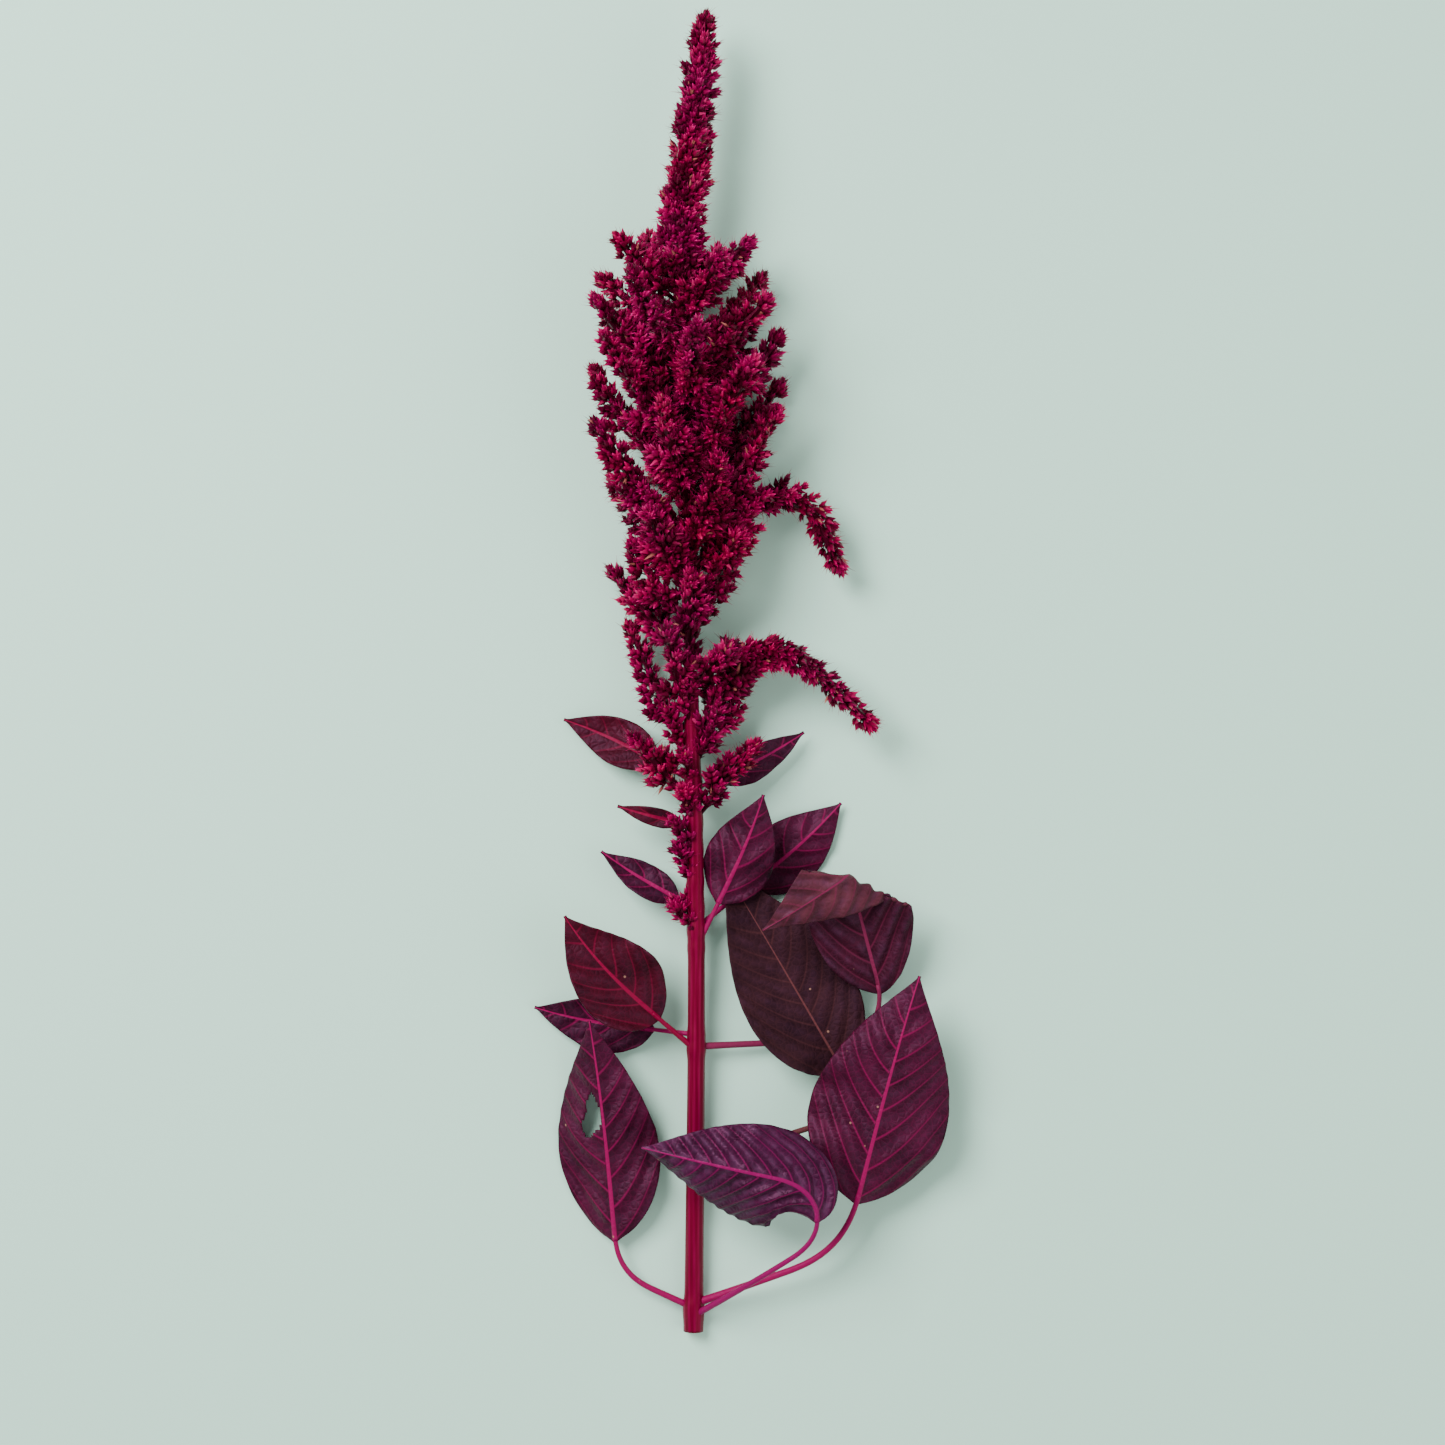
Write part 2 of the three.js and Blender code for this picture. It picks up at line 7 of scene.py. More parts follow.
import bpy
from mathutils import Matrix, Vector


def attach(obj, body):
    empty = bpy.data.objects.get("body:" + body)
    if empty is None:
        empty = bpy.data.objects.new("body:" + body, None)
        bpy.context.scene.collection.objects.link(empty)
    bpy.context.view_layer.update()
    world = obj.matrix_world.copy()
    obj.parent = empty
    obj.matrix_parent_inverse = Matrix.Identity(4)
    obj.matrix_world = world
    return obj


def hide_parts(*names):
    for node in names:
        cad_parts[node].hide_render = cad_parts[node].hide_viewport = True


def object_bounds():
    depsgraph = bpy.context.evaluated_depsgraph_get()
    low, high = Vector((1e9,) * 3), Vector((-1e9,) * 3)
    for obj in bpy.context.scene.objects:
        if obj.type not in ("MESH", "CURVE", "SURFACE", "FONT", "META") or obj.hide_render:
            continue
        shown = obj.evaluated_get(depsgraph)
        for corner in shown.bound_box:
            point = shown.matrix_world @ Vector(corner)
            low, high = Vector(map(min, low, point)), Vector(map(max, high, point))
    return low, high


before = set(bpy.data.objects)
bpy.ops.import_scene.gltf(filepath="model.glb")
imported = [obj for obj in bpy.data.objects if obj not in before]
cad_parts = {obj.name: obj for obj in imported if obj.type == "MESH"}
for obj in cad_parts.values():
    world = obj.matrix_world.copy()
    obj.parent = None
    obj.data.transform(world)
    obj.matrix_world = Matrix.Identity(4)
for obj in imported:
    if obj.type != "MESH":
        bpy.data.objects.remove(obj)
CAD_BOX = [list(corner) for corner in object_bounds()]

import functools
import math

import bpy
import numpy as np
from mathutils import Vector

bl_info = {
    "name": "Amaranth Seed Head",
    "version": (1, 0, 0),
    "blender": (4, 5, 0),
    "location": "3D View > Sidebar > Seed Head",
    "description": "Builds the florets, stem and leaves of a cut amaranth seed head",
    "category": "Add Mesh",
}

MM = 0.001
MIDDLE = np.array([25.4758, 331.4157, 0])  # of the outline in the layout, which is the frame's origin
LOWEST = 0.02  # that a piece may reach, above the surface
BRACTS = "Amaranth bracts, papery"

# The growth of the head, in the layout's millimetres
STEM_LENGTH = 333
SEAT_GAP = 0.3
HEAD_FOOT = 343
END_SPIKE_FOOT = 525
HEAD_TOP = 531
TIP = 663

AXIS_LEAN = [[0, 1.5], [45, 2], [155, 3], [235, 2.6], [345, 0], [420, -1], [475, -2.5], [537, -5],
             [570, -2.5], [620, 3.5], [663, 8]]
AXIS_HEIGHT = [[0, 4.8], [165, 12.5], [285, 21.5], [375, 28.6], [445, 32], [537, 34],
               [585, 33.5], [625, 32], [663, 30]]
STEM_RADIUS = [[0, 5.1], [30, 4.8], [235, 4.2], [333, 3.8]]
MAIN_SPIKE_RADIUS = [[333, 5], [345, 5.8], [515, 5.8], [533, 8], [547, 10.4], [565, 10.4],
                     [595, 9.4], [635, 7.6], [657, 5], [663, 1.8]]

# The stem's skin: how much it swells where a leaf or a cluster leaves it, how its ribs twist, where they
# fade, and the power that makes them broader than their grooves. Each ring of its cut face has a share of the
# stem's radius and a depth that it is sunk by, and the pith's colour fades from its middle to the skin.
JOINT_SWELL = dict(height=0.35, reach=3.5, most=0.6)
RIB_TWIST = dict(angle=0.35, length=70)
RIB_FADE = dict(start=255, end=333, share=0.6)
RIB_POWER = 0.6
CUT_RINGS = [[0.5, 0.25], [0.8, 0.25], [0.97, 0.05]]
CUT_MIDDLE = 0.3
PITH_FADE = 0.9

# The side spikes wind round the axis. The arching spike takes the place of one of them.
HEAD_SPIKES = 34
ARCHING_PLACE = 6
GOLDEN_ANGLE = 137.508
SPIKE_LENGTH = [[343, 44], [365, 54], [387, 66], [415, 75], [445, 72], [485, 62], [515, 50], [531, 41]]
SPIKE_OPENING = [[343, 36], [361, 40], [395, 46], [445, 50], [485, 56], [515, 60], [531, 56]]
SPIKE_RADIUS = [[343, 6.2], [375, 6.8], [445, 7], [531, 6.2]]
SPIKE_CURL = -0.22
SPIKE_UNEVEN = dict(around=5, opening=4, curl=0.14, length=0.09)
BARE_FOOT = 8
FULL_FOOT = 17
FOOT_RADIUS = 0.3  # as a share of a full spike's
SPIKE_TAPER = 0.5
TAPER_POWER = 1.7

# How a spike is set with branchlets: how many to a row, how far apart the rows are, the radius of its bare
# stalk, the sides of its core's mesh and how much of its foot is bare. A thick core is made thinner, to stay
# under the florets.
SIDE_BUILD = dict(columns=6, pitch=3.5, stalk=1.3, sides=8, bare=BARE_FOOT)
AXIL_BUILD = dict(columns=6, pitch=3.4, stalk=1.4, sides=8, bare=0)
INNER_BUILD = dict(columns=8, pitch=5, stalk=2.6, sides=10, bare=0)
END_BUILD = dict(columns=16, pitch=3.9, stalk=2.4, sides=12, bare=0)
CORE_SHARE = 0.52
CORE_END = 0.6
# The core's tone and its place on the colour ramp make it dark: painted shade in the depths between the
# branchlets.
CORE_PAINTED_SHADE_TONE = 0.2
CORE_PAINTED_SHADE_REACH = 0.12
THICK_CORE = 1.6
THICK_CORE_SHARE = 0.82
LEAST_CORE = 0.8  # of the bare stalk's radius

# A branchlet roots in the core, at a share of its radius, and back from its tip by a share of the spike's.
ROOT_OUT = 0.5
ROOT_BACK = 0.5

# Where a branchlet's tip stands: it leans towards the spike's tip, by a share of the row's length. Some stop
# short of the spike's radius and some go beyond it, by shares of it and a stray. The low ones stop at a share
# of it. A tuft is drawn out further, to where the node has a corner.
TIP_LEAN = 0.62
TIP_SWELL = 0.16
SHORT_OR_LONG = [-0.34, 0.3]
SHORT_OR_LONG_ODDS = [0.45, 0.55]
GROWN_STRAY = 0.5
TIP_STRAY = 0.6
LOW_SHARE = 0.66
LOW_STRAY = 0.5
TUFT_LEAN = 0.8
TUFT_REACHES = (0.8, 13)
TUFT_MISS = 0.7

# The spike's own tip: branchlets that all root this far back, one straight on and three round it
END_ROOT = 9
END_AHEAD = 3.6
END_ROUND = dict(ahead=1.2, aside=2.2)

# A branchlet's whorls: angles from its axis in degrees, with the florets at each. The whorl at the tip is
# closed and those behind it stand more and more open, and are larger. The first stands back by a share of a
# floret's length, less on a short branchlet, and whorls go on for as long as there is room behind them.
TIP_WHORL = [(5, 1), (22, 3)]
NEXT_WHORL = dict(angle=24, more=12, most=60, florets=4)
WHORL_SIZE = dict(first=0.82, more=0.12, most=1.05)
WHORL_STRAY = dict(angle=7, around=0.2)
WHORLS = 5
LOW_WHORLS = 1
FIRST_BACK = 0.9
LEAST_BACK = 0.35
SHORT_BRANCHLET = 14
ROOM = (0.3, 0.3, 1.2, 1.2, 1.2)
BRANCHLET_STRAY = 0.1
BRANCHLET_STALK = dict(length=0.96, radius=0.5, tone=0.3)
UNEVEN = (0.85, 1.15)  # shares between which the sizes of florets vary

# Tones go from dark to bright, for each branchlet and then for its florets. The low branchlets, set deeper
# in a spike, get a darker tone: painted shade. Dry ones have their own tone.
BRANCHLET_TONE = 0.38
LOW_PAINTED_SHADE_TONE = 0.15
BRANCHLET_TONE_SPREAD = 0.22
TONE_SPREAD = 0.17
# The tone that the bright florets are lifted by: painted highlights
PAINTED_HIGHLIGHT_LIFT = 0.4
TOP_TONE = 0.95
DRY_FROM = 0.97
DRY_TONE = 1.0

# Shares of the florets that are painted brighter as highlights, dry or drawn out to a needle. Dry ones are
# narrower, and open ones shorter and wider. A needle strays from its floret's aim and is longer, thinner and
# brighter.
PAINTED_HIGHLIGHT_SHARE = 0.1
DRY_SHARE = 0.018
DRY_WIDTH = 0.5
OPEN_LENGTH = 0.9
OPEN_WIDTH = 1.25
NEEDLE_SHARE = 0.85
NEEDLE = dict(start=0.4, stray=0.22, length=(1.2, 1.55), width=0.2, brighter=0.15)

# Seeds of the random draws: one for where each spike's branchlets stand, one for each piece's florets
INNER_STREAM = 40
END_STREAM = 41
AXIL_STREAM = 60
SIDE_STREAM = 5
MAIN_SEED = 800
AXIL_SEED = 900
SIDE_SEED = 1000

# Heading is measured from +Y towards +X and pitch above the horizontal, in degrees. Droop is what pitch
# changes by along a shoot. Turn is what heading changes by, between the shares given as turns, and bend is
# what it changes by from there on.
ODD_SPIKES = {
    "arching_spike": dict(at=379, heading=38, turn=118, turns=(0.3, 0.85), pitch=-8, droop=6,
                          length=116, radius=7.4, taper=0.38),
    "low_arching_spike": dict(at=283, heading=19, turn=114, turns=(0.28, 0.72), pitch=6, droop=-8,
                              length=146, radius=7.4, taper=0.38),
    "low_spike_1": dict(at=305, heading=-14, pitch=30, droop=-14, length=56, radius=5.8),
    "low_spike_2": dict(at=339, heading=-41, pitch=-18, droop=12, length=64, radius=5.4),
    "low_spike_3": dict(at=285, heading=-24, pitch=-7, droop=2, length=82, radius=5.8),
    "low_spike_4": dict(at=267, heading=-42, pitch=14, droop=-6, length=48, radius=5),
    "low_spike_5": dict(at=259, heading=38, pitch=10, length=52, radius=6),
    "low_spike_6": dict(at=323, heading=42, pitch=52, droop=-30, length=42, radius=5.4),
}
AXIL_CLUSTERS = [
    dict(at=279, heading=-20, pitch=42),
    dict(at=261, heading=-22, pitch=38),
    dict(at=245, heading=-36, pitch=26),
    dict(at=229, heading=-28, pitch=14),
    dict(at=203, heading=-36, pitch=18),
]
AXIL_LENGTH = 22
AXIL_RADIUS = 4.8
AXIL_END = 0.5  # as a share of that radius
AXIL_SWELL = 0.9

# Folds are how far a blade's left and right edges fold up, and a crease is where it has fallen over. Eaten
# is a hole, by its place and its half sizes along and across. A leaf's finish is one of LEAF_FINISHES.
LEAVES = {
    "leaf_01": dict(at=8, heading=55, turn=-133, turns=(0.7, 1.4), folds=(0.12, 0.75), pitch=40, droop=-58,
                    stalk=94, blade=102, width=52, roll=192, twist=-16, veins=10, finish="lavender"),
    "leaf_02": dict(at=14, heading=69, turn=-55, turns=(0.45, 1.1), bend=6, pitch=14, droop=-14,
                    stalk=104, blade=119, width=72, roll=186, twist=-12, finish="purple"),
    "leaf_03": dict(at=12, heading=-65, turn=60, bend=-6, folds=(0.15, 0.6), pitch=4, droop=2,
                    stalk=56, blade=113, width=54, roll=170, twist=12, finish="purple",
                    eaten=(0.57, 0.25, 0.095, 0.2)),
    "leaf_04": dict(at=84, heading=71, turn=-101, turns=(0.6, 1.15), bend=-2, folds=(0.3, 0.12), pitch=2,
                    stalk=95, blade=121, width=60, roll=6, twist=-8, finish="brown"),
    "leaf_05": dict(at=143, heading=-48, bend=22, pitch=22, droop=-22,
                    stalk=26, blade=72, width=44, roll=14, twist=-20, finish="red"),
    "leaf_06": dict(at=151, heading=-84, bend=16, pitch=-10, droop=6,
                    stalk=22, blade=62, width=30, roll=-16, twist=10, finish="purple"),
    "leaf_07": dict(at=195, heading=26, bend=-14, pitch=10,
                    stalk=26, blade=60, width=36, roll=172, twist=10, finish="purple"),
    "leaf_08": dict(at=145, heading=88, turn=-103, turns=(0.6, 1.1), folds=(0.1, 0.16), pitch=-12, droop=54,
                    stalk=108, blade=124, width=54, roll=0, twist=0, finish="mauve",
                    crease=dict(share=0.52, slant=36, angle=166, radius=4)),
    "leaf_09": dict(at=205, heading=52, bend=-16, pitch=-14, droop=12,
                    stalk=34, blade=64, width=36, roll=190, twist=-14, finish="purple"),
    "leaf_10": dict(at=215, heading=-62, bend=12, pitch=-6, droop=4,
                    stalk=10, blade=46, width=18, roll=12, twist=10, finish="purple"),
    "leaf_11": dict(at=257, heading=-78, bend=8, pitch=4, droop=-6,
                    stalk=6, blade=34, width=10, roll=-20, twist=30, finish="red"),
    "leaf_12": dict(at=275, heading=66, bend=-14, pitch=-14, droop=6,
                    stalk=12, blade=52, width=19, roll=24, twist=-10, finish="purple"),
    "leaf_13": dict(at=279, heading=-62, bend=-14, pitch=-19, droop=6,
                    stalk=22, blade=54, width=25, roll=10, twist=-16, finish="red"),
}
LEAF_TURNS = (0.35, 1.1)
LEAF_FOLDS = (0.2, 0.2)
MIDRIB_HEIGHT = 0.9
BLADE_CLEARANCE = 0.7
BLADE_THICKNESS = 0.75
STALK_TUCK = 5
STALK_RADIUS = dict(least=0.9, wider=1 / 60, thinner=0.35)

# A blade reaches to this share of its half width, and its faces lie this share of its thickness from its
# middle surface.
BLADE_INSET = 0.97
FACE_DEPTH = 0.36

# A blade's waves, long ones and short ones near its edge: how far a wave's angle goes along the blade, across
# half of it and from one leaf to the next, and its height as a share of the blade's half width there
LONG_WAVE = dict(along=13, across=1.4, leaf=1.9, height=0.09)
SHORT_WAVE = dict(along=41, across=1.1, leaf=1, height=0.028)

# Side veins leave the rib at some 55 degrees and bend on to the tip. Their phase counts them, moves on from
# one leaf to the next and strays a little. They stand out most at the rib.
VEIN_LEAN = 0.7
VEIN_BEND = 1.5
VEIN_LEAF = 0.17
VEIN_STRAY = dict(along=9, across=2, leaf=1, height=0.12)
VEIN_RELIEF = dict(height=0.4, width=0.7, lower=0.7)

# The quilting and the veins fade where a blade's half width is under this. The quilting starts beside the
# rib, between two shares of the half width, and is lower at the edge.
NARROW_BLADE = 18
QUILT_START = (0.03, 0.2)
QUILT_LOWER = 0.6

# The midrib gets lower and narrower towards the tip, in its relief and in the width that its colour has. It
# stands out of the underside, and the upper face is sunk over it and over the veins.
MIDRIB_LOWER = 0.8
MIDRIB_WIDTH = dict(foot=1.1, narrower=0.75, least=0.25)
RIB_COLOUR_WIDTH = dict(foot=1.6, narrower=1.3)
UPPER_SUNK = dict(midrib=0.35, vein=0.3)
UNDER_RELIEF = dict(midrib=1.1, quilt=0.8)

# An eaten hole's ragged edge: how many points it has, how far they reach and how far the hole leans
EATEN_EDGE = dict(points=3, reach=0.15, lean=0.25)

# Colours of a blade's upper face, its underside and its veins, its roughness, its quilting's share, how far
# its veins stand out in colour, how wide its midrib is and how much painted sheen, lavender, lies on the
# raised panels
FINISH_KEYS = ("upper", "under", "vein", "rough", "quilt", "ink", "rib", "wax")
LEAF_FINISHES = {
    "brown": ("#241012", "#2c1216", "#5c3030", 0.68, 0.8, 0.3, 0.5, 0.1),
    "purple": ("#280216", "#34041c", "#8e004c", 0.5, 1.5, 0.65, 1, 0.15),
    "lavender": ("#280420", "#300624", "#840050", 0.42, 2.6, 0.65, 1, 0.6),
    "red": ("#34020e", "#420616", "#800030", 0.52, 1.4, 0.6, 1, 0.08),
    "mauve": ("#300818", "#4e242c", "#782044", 0.55, 2.4, 0.5, 0.8, 0.3),
}
LEAF_FINISHES = {name: dict(zip(FINISH_KEYS, row)) for name, row in LEAF_FINISHES.items()}

# The stage, in metres. The middle of the view is in millimetres from the frame's origin, at the height of
# the head.
VIEW_MIDDLE = (-9.226, -22.666, 30)
SENSOR_WIDTH = 36
CAMERA_REACH = 20
SKY_STRENGTH = 0.6
FLOOR_SIZE = 6
FLOOR_GAP = 0.0002
SOFT_LIGHTS = [
    dict(name="soft_main", place=(-1.1, 0.9, 1.7), size=1.2, share=1.0),
    dict(name="soft_fill", place=(1.5, -0.6, 1.3), size=1.6, share=0.2),
]


def along(keys, place):
    """A smooth value between [place, value] keys: a cubic through each, with its neighbours' slope."""
    last = len(keys) - 1
    if place <= keys[0][0]:
        return keys[0][1]
    if place >= keys[last][0]:
        return keys[last][1]
    i = next(n for n in range(last) if keys[n][0] <= place < keys[n + 1][0])

    def slope(n):
        a, b = keys[max(n - 1, 0)], keys[min(n + 1, last)]
        return (b[1] - a[1]) / (b[0] - a[0])

    start, end = keys[i], keys[i + 1]
    span = end[0] - start[0]
    t = (place - start[0]) / span
    rise = (end[1] - start[1]) / span
    bend = (slope(i) - rise) * (1 - t) + (rise - slope(i + 1)) * t
    return start[1] + (end[1] - start[1]) * t + t * (1 - t) * span * bend


def scatter(index, stream):
    """An even scatter from -1 to 1 that repeats for the same index and stream."""
    draw = index * 0.7548776662 + stream * 0.569840291
    return 2 * (draw - math.floor(draw)) - 1


def smooth_step(start, end, value):
    t = np.clip((value - start) / (end - start), 0, 1)
    return t * t * (3 - 2 * t)


def axis_point(y):
    return np.array([along(AXIS_LEAN, y), y, along(AXIS_HEIGHT, y)])


def direction(heading, pitch):
    """The unit vector at a heading and a pitch, in degrees."""
    heading, pitch = math.radians(heading), math.radians(pitch)
    level = math.cos(pitch)
    return np.array([level * math.sin(heading), level * math.cos(heading), math.sin(pitch)])


def above(height, lowest):
    """Eases a height up to stay above the lowest it may be."""
    softness = 2.5
    return lowest + softness * np.log1p(np.exp((height - lowest) / softness))


def waves(wave, along_it, across, index):
    """Waves over a leaf's blade, moved on from one leaf to the next."""
    return np.sin(along_it * wave["along"] + across * wave["across"] + index * wave["leaf"]) * wave["height"]


def unit(vectors):
    return vectors / np.maximum(np.linalg.norm(vectors, axis=-1, keepdims=True), 1e-9)


def turned(vector, axis, angle):
    """A vector turned about a unit axis."""
    return (vector * math.cos(angle) + np.cross(axis, vector) * math.sin(angle)
            + axis * np.dot(axis, vector) * (1 - math.cos(angle)))


class GrowthLine:
    """A smooth line through points, measured by its length."""

    def __init__(self, points):
        points = np.array(points, float)
        before = 2 * points[0] - points[1]
        after = 2 * points[-1] - points[-2]
        path = np.vstack([before, points, after])
        fine = np.linspace(0, 1, 25)[:, None]
        stretches = []
        for p0, p1, p2, p3 in zip(path, path[1:], path[2:], path[3:]):
            d0, d1, d2 = (max(np.sum((b - a) ** 2) ** 0.25, 1e-4) for a, b in ((p0, p1), (p1, p2), (p2, p3)))
            out = ((p1 - p0) / d0 - (p2 - p0) / (d0 + d1) + (p2 - p1) / d1) * d1
            into = ((p2 - p1) / d1 - (p3 - p1) / (d1 + d2) + (p3 - p2) / d2) * d1
            third = 3 * (p2 - p1) - 2 * out - into
            fourth = 2 * (p1 - p2) + out + into
            stretches.append((p1 + out * fine + third * fine ** 2 + fourth * fine ** 3)[:-1])
        self.points = np.vstack([*stretches, points[-1:]])
        self.lengths = np.r_[0, np.cumsum(np.linalg.norm(np.diff(self.points, axis=0), axis=1))]
        self.length = self.lengths[-1]

    def at(self, share):
        where = np.clip(share, 0, 1) * self.length
        return np.stack([np.interp(where, self.lengths, self.points[:, k]) for k in range(3)], axis=-1)

    def forward(self, share):
        share = np.asarray(share, float)
        return unit(self.at(np.minimum(share + 0.0005, 1)) - self.at(np.maximum(share - 0.0005, 0)))

    def frames(self, rows):
        """Tangents, normals and binormals at even steps, with no twist from one to the next."""
        tangents = self.forward(np.linspace(0, 1, rows + 1))
        first = np.zeros(3)
        first[2 - np.argmin(np.abs(tangents[0])[::-1])] = 1
        normals = [np.cross(tangents[0], unit(np.cross(tangents[0], first)))]
        for before, here in zip(tangents, tangents[1:]):
            axis = np.cross(before, here)
            size = np.linalg.norm(axis)
            normal = normals[-1]
            if size > 1e-9:
                normal = turned(normal, axis / size, math.acos(min(max(np.dot(before, here), -1), 1)))
            normals.append(normal)
        normals = np.array(normals)
        return tangents, normals, np.cross(tangents, normals)


def growth_line(spec, length, steps, lowest):
    """The line of a shoot that starts in the middle of the stem."""
    start, end = spec.get("turns", (0, 1))
    walk = axis_point(spec["at"])
    points = [walk]
    for i in range(steps):
        t = (i + 0.5) / steps
        heading = (spec["heading"] + spec.get("turn", 0) * smooth_step(start, end, t)
                   + spec.get("bend", 0) * smooth_step(end, 1.4, t))
        walk = walk + direction(heading, spec["pitch"] + spec.get("droop", 0) * t) * length / steps
        points.append(np.array([walk[0], walk[1], above(walk[2], lowest)]))
    return GrowthLine(points)


def axis_line(start, end, spans):
    return GrowthLine([axis_point(start + i / spans * (end - start)) for i in range(spans + 1)])


def head_spikes():
    """The dense head's side spikes, which wind round the axis by the golden angle."""
    specs = {}
    for i in range(HEAD_SPIKES):
        if i == ARCHING_PLACE:
            continue
        at = HEAD_FOOT + (i + 0.5) / HEAD_SPIKES * (HEAD_TOP - HEAD_FOOT)
        around = math.radians(i * GOLDEN_ANGLE + SPIKE_UNEVEN["around"] * scatter(i, 1))
        opening = math.radians(along(SPIKE_OPENING, at) + SPIKE_UNEVEN["opening"] * scatter(i, 2))
        start = np.array([math.sin(around) * math.sin(opening), math.cos(opening),
                          math.cos(around) * math.sin(opening)])
        heading = math.degrees(math.atan2(start[0], start[1]))
        pitch = math.degrees(math.asin(start[2]))
        curl = SPIKE_CURL + SPIKE_UNEVEN["curl"] * scatter(i, 3)
        length = along(SPIKE_LENGTH, at) * (1 + SPIKE_UNEVEN["length"] * scatter(i, 4))
        specs[f"side_spike_{i + 1:02d}"] = dict(
            at=at, heading=heading, pitch=pitch, turn=heading * curl, droop=pitch * curl,
            length=length, radius=along(SPIKE_RADIUS, at))
    return specs


def node_corners(name):
    """A node's corners in the layout's millimetres."""
    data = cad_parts[name].data
    places = np.empty(len(data.vertices) * 3)
    data.vertices.foreach_get("co", places)
    return np.unique((places.reshape(-1, 3) / MM + MIDDLE).round(2), axis=0)


def rings_round(centres, frames, radii, sides):
    """Rings of points round a line, at radii given for each ring or for each point."""
    angles = (2 * np.pi * np.arange(sides) / sides)[:, None]
    normals, binormals = (ways[:, None] for ways in frames[1:])
    across = normals * np.cos(angles) + binormals * np.sin(angles)
    return centres[:, None] + across * np.reshape(radii, (len(centres), -1, 1))


def ring_faces(rings, sides):
    """Triangles between rings of points, and to the poles after them that close the first and the last."""
    k = np.arange(sides)
    n = (k + 1) % sides
    first, last = np.full(sides, rings * sides), (rings - 1) * sides
    faces = [(first, n, k), (first + 1, last + k, last + n)]
    for ring in range(rings - 1):
        a, b = ring * sides + k, ring * sides + n
        faces += [(a, b, b + sides), (a, b + sides, a + sides)]
    return np.vstack([np.stack(face, 1) for face in faces])


def tube(centres, frames, radii, sides):
    """The points and triangles of a closed tube round a line."""
    rings = rings_round(centres, frames, radii, sides)
    return np.vstack([rings.reshape(-1, 3), centres[0], centres[-1]]), ring_faces(len(centres), sides)


def ring_form(rings, top, stagger=0):
    """A closed form from rings of (height, radius) corners, between poles at 0 and at the top."""
    sides = len(rings[0])
    points = []
    for number, ring in enumerate(rings):
        for k, (height, radius) in enumerate(ring):
            angle = 2 * math.pi * (k + stagger * number) / sides
            points.append((radius * math.cos(angle), radius * math.sin(angle), height))
    return np.array([*points, (0, 0, 0), (0, 0, top)]), ring_faces(len(rings), sides)


# A floret is a closed bud of papery bracts drawn out to a point, and an open one has three points. Some
# florets end in an awn, a needle. Heights are shares of a floret's length and radii of half its width.
BUD = ring_form([[(0.14, 0.78)] * 5, [(0.46, 1.0)] * 5], 1.0, stagger=0.5)
STAR = ring_form([[(0.30, 0.9)] * 6, [(1.0, 0.95), (0.55, 0.6)] * 3], 0.6)
AWN = ring_form([[(0.02, 1.0)] * 3], 1.0)


def new_object(name, data):
    made = bpy.data.objects.new(name, data)
    bpy.context.scene.collection.objects.link(made)
    return made


def make_mesh(name, points, faces, slot, node, material, smooth=True, **values):
    """A triangle mesh from the layout's millimetres, with a value a point for each name."""
    points = np.array(points, float)
    points[:, 2] = np.maximum(points[:, 2], LOWEST)
    points = (points - MIDDLE) * MM
    mesh = bpy.data.meshes.new(name)
    mesh.vertices.add(len(points))
    mesh.vertices.foreach_set("co", points.astype(np.float32).ravel())
    mesh.loops.add(3 * len(faces))
    mesh.loops.foreach_set("vertex_index", faces.astype(np.int32).ravel())
    mesh.polygons.add(len(faces))
    mesh.polygons.foreach_set("loop_start", np.arange(0, 3 * len(faces), 3, dtype=np.int32))
    mesh.polygons.foreach_set("use_smooth", np.full(len(faces), smooth))
    mesh.update(calc_edges=True)
    for label, numbers in values.items():
        attribute = mesh.attributes.new(label, "FLOAT", "POINT")
        attribute.data.foreach_set("value", np.asarray(numbers, np.float32))
    mesh.validate()
    mesh.materials.append(material)
    piece = new_object(name, mesh)
    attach(piece, "root")
    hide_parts(node)


